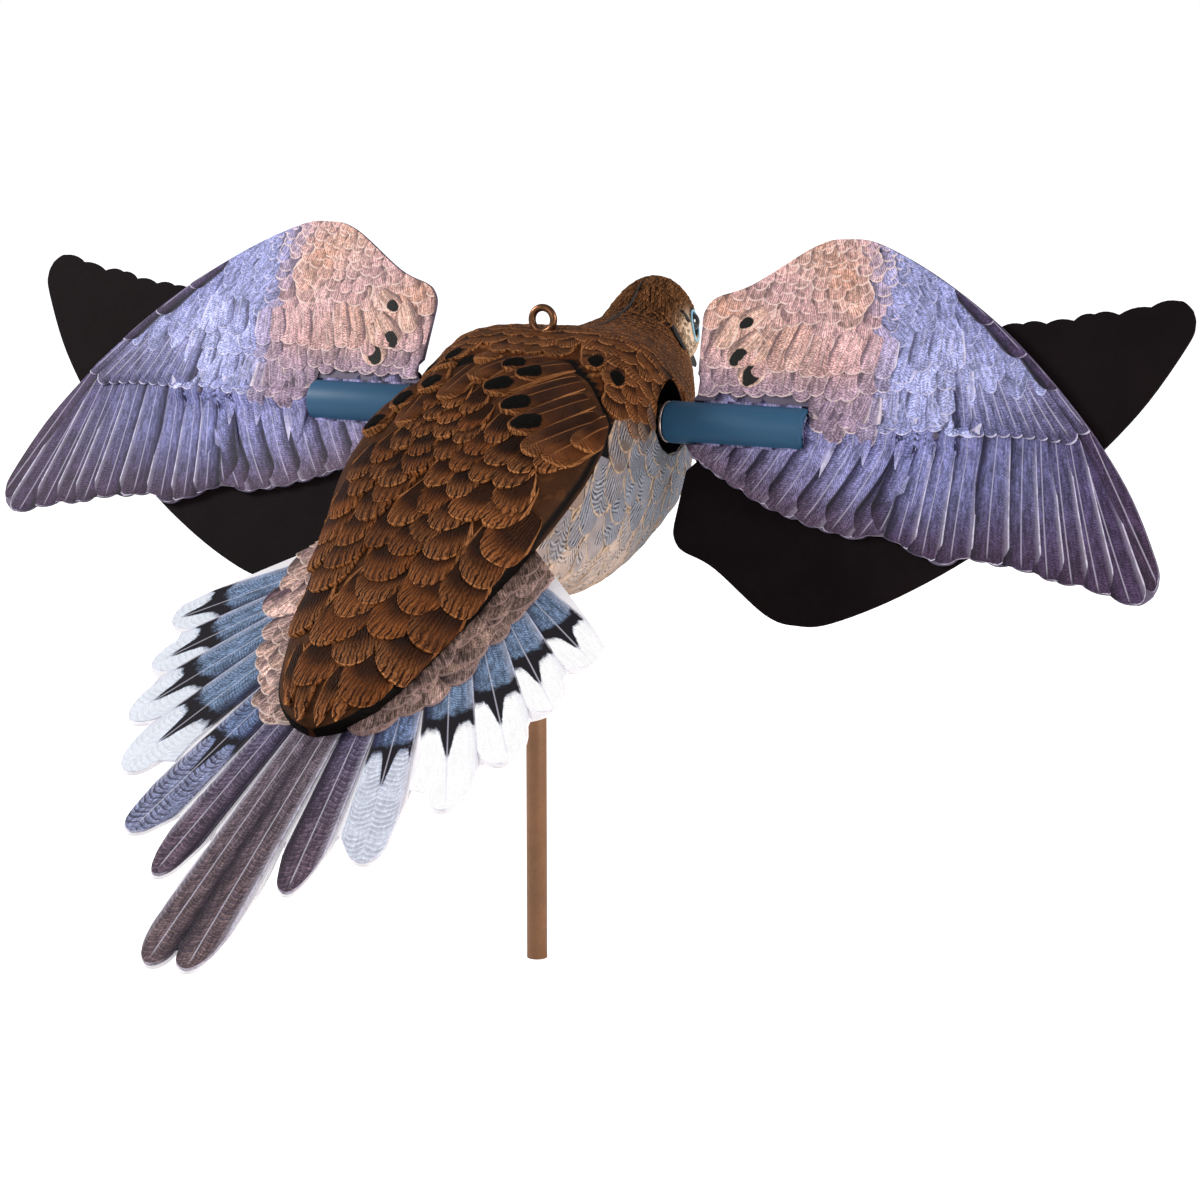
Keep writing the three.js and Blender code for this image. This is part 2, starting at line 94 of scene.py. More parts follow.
# ---------------------------------------------------------------- curves and laid-out skins
def through(xs, ys):
    """A smooth curve through values that never overshoots them."""
    xs, ys = np.asarray(xs, float), np.asarray(ys, float)
    slope = np.diff(ys) / np.diff(xs)
    tangent = np.empty_like(ys)
    tangent[0], tangent[-1] = slope[0], slope[-1]
    for i in range(1, len(ys) - 1):
        before, after = slope[i - 1], slope[i]
        tangent[i] = 0 if before * after <= 0 else 2 / (1 / before + 1 / after)

    def curve(x):
        x = np.asarray(x, float)
        i = np.clip(np.searchsorted(xs, x, side="right") - 1, 0, len(xs) - 2)
        h = xs[i + 1] - xs[i]
        t = np.clip((x - xs[i]) / h, 0, 1)
        return ((1 + 2 * t) * (1 - t) ** 2 * ys[i] + t * (1 - t) ** 2 * h * tangent[i]
                + t * t * (3 - 2 * t) * ys[i + 1] + t * t * (t - 1) * h * tangent[i + 1])
    return curve


def squircle(angle, power):
    s, c = np.sin(angle), np.cos(angle)
    r = (np.abs(s) ** power + np.abs(c) ** power) ** (-1 / power)
    return s * r, c * r


trunk_at = np.r_[0, np.cumsum(np.hypot(np.diff(TRUNK[:, 0]), np.diff(TRUNK[:, 1])))]
trunk_curves = [through(trunk_at, TRUNK[:, k]) for k in range(8)]
wing_curves = [through(WINGS[:, 0], WINGS[:, k]) for k in range(4)]


def on_back(x, along, above):
    return np.stack(np.broadcast_arrays(
        x, BACK_Y + along * COS_B + above * SIN_B, BACK_Z - along * SIN_B + above * COS_B), -1)


def trunk_ring(at, angle):
    y, z, lean, wide, up, down, up_power, down_power = [f(at) for f in trunk_curves]
    top = np.cos(angle) >= 0
    x, h = squircle(angle, np.where(top, up_power, down_power))
    rise = h * np.where(top, up, down)
    lean = np.radians(lean)
    return np.stack(np.broadcast_arrays(x * wide, y + rise * np.sin(lean), z + rise * np.cos(lean)), -1)


def wing_ring(along, angle):
    _, wide, rim, crown = [f(along) for f in wing_curves]
    x, h = squircle(angle, 2.15)
    return on_back(x * wide, along, rim + WALL + h * (crown - rim - WALL))


def steps(a, b, n):
    return np.linspace(a, b, n)


def ramp(x, a, b):
    """0 before a, 1 after b, smooth between."""
    t = np.clip((np.asarray(x, float) - a) / (b - a), 0, 1)
    return t * t * (3 - 2 * t)


class Skin:
    """A curved surface laid out flat: so far along it, and so far out from its middle line."""

    def __init__(self, ring, start, end, sweep, pitch=1.5):
        self.along = np.arange(start, end + 1e-6, (end - start) / round((end - start) / pitch))
        angles = steps(0, sweep, 241)
        lines = []
        for a in self.along:
            p = ring(a, angles)
            lines.append((p, np.r_[0, np.cumsum(np.linalg.norm(np.diff(p, axis=0), axis=1))]))
        self.reach = np.array([d[-1] for _, d in lines])
        self.out = np.arange(0, self.reach.max() + 2, 1.0)
        self.half = np.stack([np.stack([np.interp(self.out, d, p[:, k]) for k in range(3)], -1)
                              for p, d in lines])
        n = np.cross(np.gradient(self.half, axis=1), np.gradient(self.half, axis=0))
        n[:, 0, 0] = 0
        size = np.linalg.norm(n, axis=-1)
        for j in range(1, len(self.out)):
            flat = size[:, j] < 0.05
            n[flat, j], size[flat, j] = n[flat, j - 1], size[flat, j - 1]
        self.normal = n / np.maximum(size, 1e-9)[..., None]

    def spot(self, along, out, above=0.0):
        """Points in the shaft's millimetres for places on the skin."""
        along, out = np.broadcast_arrays(np.asarray(along, float), np.asarray(out, float))
        a = np.clip((along - self.along[0]) / (self.along[1] - self.along[0]), 0, len(self.along) - 1.001)
        limit = np.interp(along, self.along, self.reach)
        o = np.clip(np.minimum(np.abs(out), limit), 0, len(self.out) - 1.001)
        i, j = a.astype(int), o.astype(int)
        fa, fo = (a - i)[..., None], (o - j)[..., None]

        def mix(grid):
            return ((1 - fa) * ((1 - fo) * grid[i, j] + fo * grid[i, j + 1])
                    + fa * ((1 - fo) * grid[i + 1, j] + fo * grid[i + 1, j + 1]))
        n = mix(self.normal)
        p = mix(self.half) + n / np.linalg.norm(n, axis=-1)[..., None] * np.asarray(above, float)[..., None]
        p[..., 0] *= np.where(out < 0, -1, 1)
        return p

    def reach_at(self, along):
        """How far out the skin goes so far along it."""
        return float(np.interp(along, self.along, self.reach))

    def out_at(self, along, x):
        """How far out the skin is x from the middle."""
        i = int(np.clip(np.searchsorted(self.along, along), 0, len(self.along) - 1))
        return math.copysign(float(np.interp(abs(x), self.half[i, :, 0], self.out)), x)


back_skin = Skin(wing_ring, 9.0, 196.0, math.pi / 2)
trunk_skin = Skin(trunk_ring, 0.0, float(trunk_at[-1]), math.pi)


def kept_inside(points, outline):
    """Points outside an outline are drawn in to its nearest edge."""
    a, b = outline, np.roll(outline, -1, 0)
    x, y = points[:, 0][:, None], points[:, 1][:, None]
    with np.errstate(divide="ignore", invalid="ignore"):
        meets = (b[:, 0] - a[:, 0]) * (y - a[:, 1]) / (b[:, 1] - a[:, 1]) + a[:, 0]
    crossing = ((a[:, 1] > y) != (b[:, 1] > y)) & (x < meets)
    outside = crossing.sum(1) % 2 == 0
    if outside.any():
        p = points[outside][:, None, :]
        edge = b - a
        t = np.clip(((p - a) * edge).sum(-1) / np.maximum((edge * edge).sum(-1), 1e-9), 0, 1)
        near = a + t[..., None] * edge
        best = np.argmin(np.linalg.norm(near - p, axis=-1), axis=1)
        points = points.copy()
        points[outside] = near[np.arange(len(best)), best]
    return points


class Sheet:
    """A flat sheet with an outline: places on it are height (or way along), x, and above its face."""

    def __init__(self, lay, outline):
        self.lay, self.outline = lay, outline

    def spot(self, along, out, above=0.0):
        along, out, above = np.broadcast_arrays(np.asarray(along, float), np.asarray(out, float), above)
        p = kept_inside(np.stack([out, along], -1), self.outline)
        return self.lay(p[:, 1], p[:, 0], above)


# ---------------------------------------------------------------- making meshes
ALONG_SHAFT, UPRIGHT = (0, math.pi / 2, 0), (0, 0, 0)


def in_row(points):
    return (np.asarray(points) + SHAFT) / 1000


def places(o):
    """A mesh's points, in the shaft's millimetres."""
    return np.array([v.co[:] for v in o.data.vertices]) * 1000 - SHAFT


def choose(*objects):
    """Select these alone; the first is the one that is worked on."""
    bpy.ops.object.select_all(action="DESELECT")
    for o in objects:
        o.select_set(True)
    bpy.context.view_layer.objects.active = objects[0]
    return objects[0]


def settled():
    """The chosen object, with its place, turn and size worked into its mesh."""
    bpy.ops.object.transform_apply(location=True, rotation=True, scale=True)
    return bpy.context.object


def joined(*objects):
    choose(*objects)
    bpy.ops.object.join()
    return settled()


def face_outward(o, triangles=False):
    choose(o)
    bpy.ops.object.mode_set(mode="EDIT")
    bpy.ops.mesh.select_all(action="SELECT")
    if triangles:
        bpy.ops.mesh.quads_convert_to_tris()
    bpy.ops.mesh.normals_make_consistent(inside=False)
    bpy.ops.object.mode_set(mode="OBJECT")
    return o


def modify(o, kind, **settings):
    """Change a mesh with one modifier."""
    m = choose(o).modifiers.new("change", kind)
    for key, value in settings.items():
        setattr(m, key, value)
    bpy.ops.object.modifier_apply(modifier=m.name)
    return o


def cut_away(o, cutter):
    """Cut one shape out of another and drop the cutter."""
    modify(o, "BOOLEAN", operation="DIFFERENCE", solver="EXACT", object=cutter)
    bpy.data.objects.remove(cutter)


def round_edges(o, width, segments=3):
    return modify(o, "BEVEL", width=width / 1000, segments=segments, limit_method="ANGLE",
                  angle_limit=math.radians(30))


def rod(radius, long, middle, sides=64, bevel=0.0, segments=3, turn=ALONG_SHAFT):
    """A round bar, its end edges rounded where a bevel is given."""
    bpy.ops.mesh.primitive_cylinder_add(vertices=sides, radius=radius / 1000, depth=long / 1000,
                                        location=in_row(middle), rotation=turn)
    o = settled()
    return round_edges(o, bevel, segments) if bevel else o


def finish_piece(o, name, material, covers=(), smooth=40, body="decoy"):
    """Name and paint a piece, and say what it rides and the solids that it replaces."""
    o.name = o.data.name = name
    o.data.materials.clear()
    o.data.materials.append(material)
    choose(o)
    bpy.ops.object.shade_smooth_by_angle(angle=math.radians(smooth))
    o.select_set(False)
    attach(o, body)
    if covers:
        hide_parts(*covers)


def new_mesh(name, points, faces):
    mesh = bpy.data.meshes.new(name)
    mesh.from_pydata([tuple(p) for p in in_row(points)], [], faces)
    mesh.update()
    o = bpy.data.objects.new(name, mesh)
    bpy.context.scene.collection.objects.link(o)
    return o


def give(o, name, values):
    """Store three numbers, such as a colour, for each point of the mesh."""
    layer = o.data.attributes.new(name, "FLOAT_COLOR", "POINT")
    layer.data.foreach_set("color", np.c_[values, np.ones(len(values))].ravel())


def tube_faces(rows, around, closed=False):
    """The quads between rows of points, so many around; a closed tube joins its last row to its first."""
    faces = []
    for j in range(rows if closed else rows - 1):
        up = ((j + 1) % rows - j) * around
        for i in range(around):
            a, b = j * around + i, j * around + (i + 1) % around
            faces.append((a, b, b + up, a + up))
    return faces


def lofted(name, ring, rows, around):
    """A closed shape over rings of points, its ends closed with fans."""
    points = np.concatenate([ring(row) for row in rows])
    faces = tube_faces(len(rows), around)
    first, last, end = len(points), len(points) + 1, (len(rows) - 1) * around
    points = np.vstack([points, points[:around].mean(0), points[-around:].mean(0)])
    for i in range(around):
        k = (i + 1) % around
        faces += [(first, k, i), (last, end + i, end + k)]
    return new_mesh(name, points, faces)


def grown(outline, by):
    """An outline moved outwards by so much, or inwards where it is below nought."""
    ring = np.array(outline, float)
    ahead = np.roll(ring, -1, 0)
    tangent = ahead - np.roll(ring, 1, 0)
    size = np.maximum(np.linalg.norm(tangent, axis=1), 1e-6)[:, None]
    area = np.sum(ring[:, 0] * ahead[:, 1] - ahead[:, 0] * ring[:, 1])
    return ring + np.stack([tangent[:, 1], -tangent[:, 0]], -1) / size * by * (1 if area > 0 else -1)


def flat_sheet(name, outline, lay, thick, chamfer=0.25):
    """A stiff sheet cut to an outline, its edges a little rounded."""
    levels = [(-thick, -chamfer), (-thick + chamfer, 0.0), (-chamfer, 0.0), (0.0, -chamfer)]
    points = [lay(p[:, 1], p[:, 0], above) for above, p in ((a, grown(outline, grow)) for a, grow in levels)]
    n = len(outline)
    faces = tube_faces(4, n) + [tuple(reversed(range(n))), tuple(range(3 * n, 4 * n))]
    return face_outward(new_mesh(name, np.concatenate(points), faces), triangles=True)


def feather_form(across, down):
    """One feather as a flat closed plate, modelled from a grid: its points' place across, from root to
    tip and in depth, and its faces."""
    bpy.ops.mesh.primitive_grid_add(x_subdivisions=across, y_subdivisions=down, size=2)
    o = bpy.context.object
    bpy.ops.object.mode_set(mode="EDIT")
    bpy.ops.mesh.select_mode(type="EDGE")
    bpy.ops.mesh.select_all(action="DESELECT")
    bpy.ops.mesh.select_non_manifold()
    bpy.ops.mesh.extrude_edges_move(TRANSFORM_OT_translate={"value": (0, 0, -1)})
    bpy.ops.mesh.edge_face_add()
    bpy.ops.object.mode_set(mode="OBJECT")
    face_outward(o)
    co = np.array([v.co[:] for v in o.data.vertices])
    faces = [tuple(p.vertices) for p in o.data.polygons]
    bpy.data.objects.remove(o)
    return co[:, 0], (co[:, 1] + 1) / 2, co[:, 2] < -0.5, faces


def dimmed(colour, light):
    return [c * light for c in colour]


class Feathers:
    """Collects copies of a feather plate, bent over a skin, as one piece of the decoy. What is usual for
    the pile is given once; what is a feather's own comes with it."""

    def __init__(self, across, down, skin, **usual):
        self.form, self.skin, self.usual = feather_form(across, down), skin, usual
        self.points, self.faces, self.marks, self.count = [], [], [], 0

    def add(self, along, out, **own):
        self.lay(along, out, **{**self.usual, **own})

    def lay(self, along, out, long, wide, tip, proud, tint, trim, turn=0.0, root=0.5, spread=0.6, lie=0.1,
            sink=0.5, droop=0.35, barbs=9, flute=0.0, bow=0.0, end=None, band=0.0, band_wide=0.0, spot=0.0,
            kind=0.0, hand=1):
        """along, out is the tip; turn leans the tip to +out; tip is how much of the length is rounded;
        hand is the side that the next feather covers."""
        s, r, deep, faces = self.form
        phi = s * math.pi / 2
        v = np.sin(phi)
        back = long * (1 - r * (1 - tip * (1 - np.cos(phi)) * 0.5 * (1 + r)))
        side = wide / 2 * v * (root + (1 - root) * r ** spread) + bow * (1 - r) ** 2
        c, n = math.cos(turn), math.sin(turn)
        up = lie + proud * (0.1 + 0.9 * r ** 1.15) * (1 - droop * v * v)
        up = up + flute * np.cos(s * barbs * math.pi) * ramp(r, 0.25, 0.8) - 0.25 * proud * ramp(r, 0.93, 1.0)
        self.points.append(self.skin.spot(along - back * c - side * n, out - back * n + side * c,
                                          np.where(deep, -sink, up)))
        self.faces += [tuple(i + self.count for i in face) for face in faces]
        self.count += len(s)
        one = np.ones(len(s))
        self.marks.append({
            "tint": np.outer(one, tint), "trim": np.outer(one, trim),
            "tip_tint": np.outer(one, tint if end is None else end),
            "lay": np.stack([s * 0.5 * hand + 0.5, r, one * long / 100], -1),
            "plan": np.stack([one * wide / 100, one * band, one * band_wide], -1),
            "mark": np.stack([one * spot, one * kind, one * rng.random()], -1)})

    def build(self, name, material, smooth=40, body="decoy"):
        o = new_mesh(name, np.concatenate(self.points), self.faces)
        for key in self.marks[0]:
            give(o, key, np.concatenate([m[key] for m in self.marks]))
        finish_piece(o, name, material, (), smooth, body)


# ---------------------------------------------------------------- shader groups
class Value:
    """What a node puts out. Sums and products of values add the nodes that work them out."""

    def __init__(self, w, socket):
        self.w, self.socket = w, socket

    def __add__(self, other):
        return self.w.maths("ADD", self, other)

    def __sub__(self, other):
        return self.w.maths("SUBTRACT", self, other)

    def __rsub__(self, other):
        return self.w.maths("SUBTRACT", other, self)

    def __mul__(self, other):
        return self.w.maths("MULTIPLY", self, other)

    def __truediv__(self, other):
        return self.w.maths("DIVIDE", self, other)


class Wiring:
    """Short hand for adding nodes and joining them."""

    def __init__(self, tree):
        self.tree = tree

    def put(self, socket, value):
        if isinstance(value, Value):
            self.tree.links.new(value.socket, socket)
            return
        if socket.type == "RGBA" and len(value) == 3:
            value = (*value, 1)
        socket.default_value = value

    def feed(self, sockets, **values):
        for key, value in values.items():
            self.put(sockets[key.replace("_", " ")], value)

    def node(self, kind, ins=(), **settings):
        n = self.tree.nodes.new(kind)
        for key, value in settings.items():
            setattr(n, key, value)
        for key, value in dict(ins).items():
            self.put(n.inputs[key], value)
        return n

    def out(self, node, which=0):
        return Value(self, node.outputs[which])

    def outs(self, node):
        return {s.name: Value(self, s) for s in node.outputs}

    def maths(self, operation, *values):
        return self.out(self.node("ShaderNodeMath", enumerate(values), operation=operation))

    def ramp(self, value, a, b, low=0.0, high=1.0):
        ins = enumerate((value, a, b, low, high))
        return self.out(self.node("ShaderNodeMapRange", ins, interpolation_type="SMOOTHSTEP"))

    def mix(self, amount, a, b, blend="MIX"):
        n = self.node("ShaderNodeMix", {0: amount, 6: a, 7: b}, data_type="RGBA", blend_type=blend)
        return self.out(n, 2)

    def scaled(self, colour, gain):
        return self.out(self.node("ShaderNodeVectorMath", {0: colour, "Scale": gain}, operation="SCALE"))

    def noise(self, place, scale, detail=3.0, rough=0.55):
        ins = {"Vector": place, "Scale": scale, "Detail": detail, "Roughness": rough}
        return self.out(self.node("ShaderNodeTexNoise", ins), "Fac")

    def group(self, tree, **values):
        n = self.node("ShaderNodeGroup", node_tree=tree)
        self.feed(n.inputs, **values)
        return self.outs(n)

    def attribute(self, name, kind="Color"):
        return self.out(self.node("ShaderNodeAttribute", attribute_name=name), kind)

    def split(self, vector):
        return list(self.outs(self.node("ShaderNodeSeparateXYZ", {0: vector})).values())

    def bump(self, height, distance, strength=1.0):
        ins = {"Strength": strength, "Distance": distance, "Height": height}
        return self.out(self.node("ShaderNodeBump", ins))


def start_group(name, ins, outs):
    """A new node group. An input's starting value has 1, 3 or 4 parts: a number, a place or a colour."""
    tree = bpy.data.node_groups.new(name, "ShaderNodeTree")
    kinds = {1: "NodeSocketFloat", 3: "NodeSocketVector", 4: "NodeSocketColor"}
    for key, value in ins.items():
        s = tree.interface.new_socket(name=key, in_out="INPUT", socket_type=kinds[np.size(value)])
        s.default_value = value
    for key in outs:
        kind = kinds[4 if key == "Colour" else 1]
        tree.interface.new_socket(name=key, in_out="OUTPUT", socket_type=kind)
    w = Wiring(tree)
    return tree, w, w.outs(w.node("NodeGroupInput")), w.node("NodeGroupOutput").inputs


def start_material(name, **settings):
    m = bpy.data.materials.new(name)
    m.use_nodes = True
    w = Wiring(m.node_tree)
    shader = m.node_tree.nodes["Principled BSDF"].inputs
    w.feed(shader, **settings)
    return m, w, shader, w.out(w.node("ShaderNodeTexCoord"), "Object")


def feather_group():
    """Reads a feather's own layout: how near its rim a place is, its barbs, its shaft, its bands and spot."""
    ins = dict.fromkeys(("Lay", "Plan", "Mark", "Place"), (0, 0, 0))
    tree, w, i, o = start_group("feather_detail", {**ins, "Barb pitch": 1.0, "Rim width": 0.6}, (
        "Rim", "Barb", "Fine barb", "Bars", "Fade", "Shaft", "Band", "Past band", "Spot", "Run", "Side",
        "Streak"))
    s, r, long = w.split(i["Lay"])
    wide, band, band_wide = w.split(i["Plan"])
    spot, kind, seed = w.split(i["Mark"])
    wave = w.noise(i["Place"], 260.0, 2.0) - 0.5
    ripple = w.noise(i["Place"], 700.0, 2.0) - 0.5
    side = w.maths("SINE", (s - 0.5) * math.pi)
    away = w.maths("ABSOLUTE", side)
    long_mm, half_mm = long * 100.0, wide * 50.0
    run_mm = r * long_mm
    to_side, to_tip = (1.0 - away) * half_mm, long_mm - run_mm
    near = w.maths("SMOOTH_MIN", to_side, to_tip, 0.6) + wave * 0.5
    # chevrons from the shaft of a long feather, or rays from the root of a scallop
    chevron = (run_mm - away * half_mm * 0.8 + (wave * 2.2 + ripple * 0.9)) / i["Barb pitch"]
    rays = (s - 0.5) * (wide * 150.0) / i["Barb pitch"] + (wave * 0.8 + ripple * 0.5)
    count = chevron * kind + rays * (1.0 - kind)

    def beat(times):
        return w.maths("MULTIPLY_ADD", w.maths("SINE", (count * times + seed) * (2 * math.pi)), 0.5, 0.5)
    # a dark band across, run out to a point along the shaft and a little along the edges
    past = r - away * away * 0.03 + ripple * 0.02 - band
    there = w.ramp(band_wide, 0.0, 0.004)
    point = w.maths("POWER", w.ramp(away, 0.62, 0.0), 2.6)
    edge = w.maths("POWER", w.ramp(away, 0.72, 1.0), 2.0)
    further = w.maths("MULTIPLY_ADD", point, 0.1, edge * 0.045)
    end = past - (band_wide + (further - 0.01))
    in_band = w.ramp(past + wave * 0.05, -0.02, 0.008) * (1.0 - w.ramp(end, -0.006, 0.006))
    beyond = w.ramp(end, -0.012, 0.03) * there
    # a dark blot just inside the tip
    du, dv = (to_tip - half_mm * 0.8) / (half_mm * 1.25), side + 0.12
    blot = w.ramp(w.maths("SQRT", du * du + dv * dv) + wave * 0.35, 0.66, 0.56)
    # long irregular streaks along the feather
    join = w.out(w.node("ShaderNodeCombineXYZ", enumerate((s * wide * 130.0, run_mm * 0.16, seed * 57.0))))
    w.feed(o, Rim=w.ramp(near, i["Rim width"], i["Rim width"] * 0.35), Barb=beat(1.0), Fine_barb=beat(1.9),
           Bars=beat(0.5), Shaft=w.ramp(away * half_mm, 0.42, 0.12) * w.ramp(to_tip, 1.5, 7.0),
           Band=in_band * there, Past_band=beyond, Fade=w.ramp(r, 0.3, 0.98) * (1.0 - there) + beyond,
           Spot=blot * spot, Run=r, Side=side, Streak=w.noise(join, 1.0, 3.0, 0.6))
    return tree


def mottle_group():
    """Broad and fine unevenness of a painted or printed surface."""
    tree, w, i, o = start_group("mottle", {"Place": (0, 0, 0), "Broad": 60.0, "Fine": 900.0,
                                           "Colour": (0.5, 0.5, 0.5, 1), "Depth": 0.4}, ("Colour", "Grain"))
    fine = w.noise(i["Place"], i["Fine"], 4.0, 0.65)
    amount = w.ramp(w.noise(i["Place"], i["Broad"], 3.0) * 0.6 + fine * 0.4, 0.3, 0.7, -0.5, 0.5)
    gain = w.maths("MULTIPLY_ADD", amount, i["Depth"], 1.0)
    w.feed(o, Colour=w.scaled(i["Colour"], gain), Grain=fine)
    return tree


feather_detail = feather_group()
mottle = mottle_group()


# ---------------------------------------------------------------- paints and inks
SPOT_BLACK, BAND_BLACK, BAR_BROWN = paint(3, 2, 1), paint(22, 18, 26), paint(44, 34, 56)
STROKE_BLUE, BARB_HIGHLIGHT = paint(38, 41, 54), paint(186, 198, 214)
CUT_SHADE, TUCK_SHADE = (0.2, 0.16, 0.14, 1), (0.1, 0.08, 0.15, 1)


def start_feather_paint(name, pitch, rim_width, **settings):
    """A feather paint's material, wiring and shader, its place, its layout and its two colours."""
    m, w, shader, place = start_material(name, **settings)
    lay, plan, mark = (w.attribute(key, "Vector") for key in ("lay", "plan", "mark"))
    d = w.group(feather_detail, Lay=lay, Plan=plan, Mark=mark, Place=place, Barb_pitch=pitch,
                Rim_width=rim_width)
    return m, w, shader, place, d, w.attribute("tint"), w.attribute("trim")


def carved_feather_paint(name, pitch, rim_width, rim_strength, slits, tip_light, root_shade, quill=0.0):
    """Moulded feathers: painted shade in the cuts and towards the covered roots, lighter paint brushed over
    the raised tips.
    """
    m, w, shader, place, d, tint, trim = start_feather_paint(
        name, pitch, rim_width, Roughness=0.6, Specular_IOR_Level=0.1)
    soft = w.group(mottle, Place=place, Broad=120.0, Fine=900.0, Colour=tint, Depth=1.1)
    brushed = w.noise(place, 380.0, 4.0, 0.7)
    # painted shade towards the root, where the feather above would shadow it
    colour = w.scaled(soft["Colour"], w.ramp(d["Run"], 0.5, 0.88, root_shade, 1.2))
    lit = w.ramp(d["Run"], 0.6, 0.98) * w.ramp(brushed, 0.28, 0.62, 0.25, 1.0)
    lit = lit * w.ramp(d["Fine barb"], 0.0, 0.6, 0.45, 1.0)
    colour = w.mix(lit * tip_light, colour, trim)
    rubbed = w.ramp(brushed, 0.25, 0.55, 0.35 * rim_strength, rim_strength)
    colour = w.mix(d["Rim"] * rubbed, colour, trim)
    colour = w.mix(d["Shaft"] * quill, colour, trim)
    # painted shade in the slits at the tips and in the fine barb grooves
    cut = w.ramp(d["Barb"], 0.15, 0.03) * w.ramp(d["Run"], 0.72, 0.9) * slits
    fine = w.ramp(d["Fine barb"], 0.42, 0.1) * 0.5
    colour = w.mix(w.maths("MAXIMUM", cut, fine), colour, w.mix(1.0, tint, CUT_SHADE, "MULTIPLY"))
    groove = w.ramp(d["Barb"], 0.02, 0.22) * w.ramp(d["Run"], 0.6, 0.88, 0.1, 0.8)
    height = w.maths("MULTIPLY_ADD", d["Fine barb"], 0.45, groove) + brushed * 0.5
    height = w.maths("MULTIPLY_ADD", d["Rim"], 0.8, height)
    w.feed(shader, Base_Color=w.mix(d["Spot"], colour, SPOT_BLACK), Normal=w.bump(height, 0.0006),
           Roughness=w.ramp(soft["Grain"], 0.3, 0.7, 0.52, 0.72) + d["Spot"] * 0.28)
    return m


def flank_feather_paint():
    """The pale belly: buff feather edges, short blue-grey strokes and a painted highlight along the barb
    crests.
    """
    m, w, shader, place, d, tint, trim = start_feather_paint(
        "flank_feather_paint", 1.7, 1.25, Roughness=0.6, Specular_IOR_Level=0.2)
    soft = w.group(mottle, Place=place, Broad=140.0, Fine=1300.0, Colour=tint, Depth=0.5)
    broken = w.ramp(w.noise(place, 170.0, 3.0, 0.6), 0.42, 0.56)
    frayed = w.ramp(w.noise(place, 420.0, 3.0, 0.6), 0.36, 0.6)
    stroke = w.ramp(d["Barb"], 0.42, 0.16) * (broken * frayed)
    colour = w.mix(stroke * 0.95, soft["Colour"], STROKE_BLUE)
    # painted highlight along the crests of the barbs
    colour = w.mix(w.ramp(d["Barb"], 0.72, 0.95) * broken * 0.45, colour, BARB_HIGHLIGHT)
    colour = w.mix(d["Rim"] * w.ramp(frayed, 0.1, 0.9, 0.15, 0.75), colour, trim)
    height = d["Barb"] * broken * 0.7 + d["Rim"] * 1.3
    w.feed(shader, Base_Color=colour, Normal=w.bump(height, 0.0004, 0.9))
    return m


def printed_feather_ink(name, rim_width, pitch, rim_strength, streaks, tuck, tuck_depth, crest, barred=False):
    """Feathers printed on sheet: fine barbs, a pale hair line round each, bands and blots."""
    m, w, shader, place, d, tint, trim = start_feather_paint(
        name, pitch, rim_width, Roughness=0.5, Specular_IOR_Level=0.2)
    end = w.attribute("tip_tint")
    faded = w.mix(d["Fade"], tint, end)
    soft = w.group(mottle, Place=place, Broad=150.0, Fine=1500.0, Colour=faded, Depth=0.5)
    gain = w.ramp(d["Barb"], 0.1, 0.9, 0.74, 1.26)
    gain = gain * w.ramp(d["Streak"], 0.32, 0.68, 1 - streaks, 1 + streaks)
    gain = gain * w.ramp(w.noise(place, 1100.0, 3.0, 0.7), 0.35, 0.65, 0.64, 1.36)
    colour = w.scaled(soft["Colour"], gain)
    bright = w.out(w.node("ShaderNodeRGBToBW", {0: end}))
    colour = w.mix(d["Past band"] * w.ramp(bright, 0.3, 0.8, 0.15, 0.9), colour, end)
    under = w.ramp(d["Side"], tuck[0], tuck[1]) * tuck_depth * (1.0 - d["Past band"])
    colour = w.mix(under, colour, w.mix(1.0, colour, TUCK_SHADE, "MULTIPLY"))
    shown = w.ramp(d["Run"], 0.12, 0.42)
    colour = w.mix(w.ramp(d["Side"], -0.62, -0.95) * crest * shown, colour, trim)
    if barred:
        # dark wavy bars across the outer half, as strong as each feather's mark says
        strength = w.split(w.attribute("mark", "Vector"))[0]
        bars = w.ramp(d["Bars"], 0.35, 0.7) * w.ramp(d["Run"], 0.5, 0.68)
        bars = bars * w.ramp(w.noise(place, 130.0, 2.0), 0.34, 0.6, 0.25, 1.0)
        colour = w.mix(bars * strength, colour, BAR_BROWN)
        colour = w.mix(d["Band"], colour, BAND_BLACK)
    colour = w.mix(d["Shaft"] * (0.5 if barred else 0.38), colour, trim)
    hair = d["Rim"] * w.ramp(d["Side"], 0.8, 0.1, 0.1, 1.0)
    hair = hair * w.ramp(w.noise(place, 330.0, 2.0), 0.3, 0.6, 0.4, 1.0) * (shown * rim_strength)
    colour = w.mix(hair, colour, trim)
    if not barred:
        colour = w.mix(d["Spot"], colour, SPOT_BLACK)
    w.feed(shader, Base_Color=colour, Normal=w.bump(soft["Grain"] + d["Barb"], 0.00006, 0.6))
    return m


def moulding_paint():
    """The body under the feathers: brown on the back, pale below, with painted shade in the wing sockets,
    under the folded wings' rim and on their side walls.
    """
    m, w, shader, place = start_material("moulding_paint", Roughness=0.66, Specular_IOR_Level=0.08)
    soft = w.group(mottle, Place=place, Broad=80.0, Fine=900.0, Colour=w.attribute("tint"), Depth=0.6)
    drawn_out = w.out(w.node("ShaderNodeMapping", {"Vector": place, "Scale": (1.0, 0.35, 1.4)}))
    ridge = w.noise(drawn_out, 210.0, 3.0, 0.6)
    colour = w.mix(w.ramp(ridge, 0.5, 0.66) * 0.5, soft["Colour"], w.attribute("trim"))
    w.feed(shader, Base_Color=colour, Normal=w.bump(ridge + soft["Grain"] * 0.25, 0.0012, 0.8))
    return m


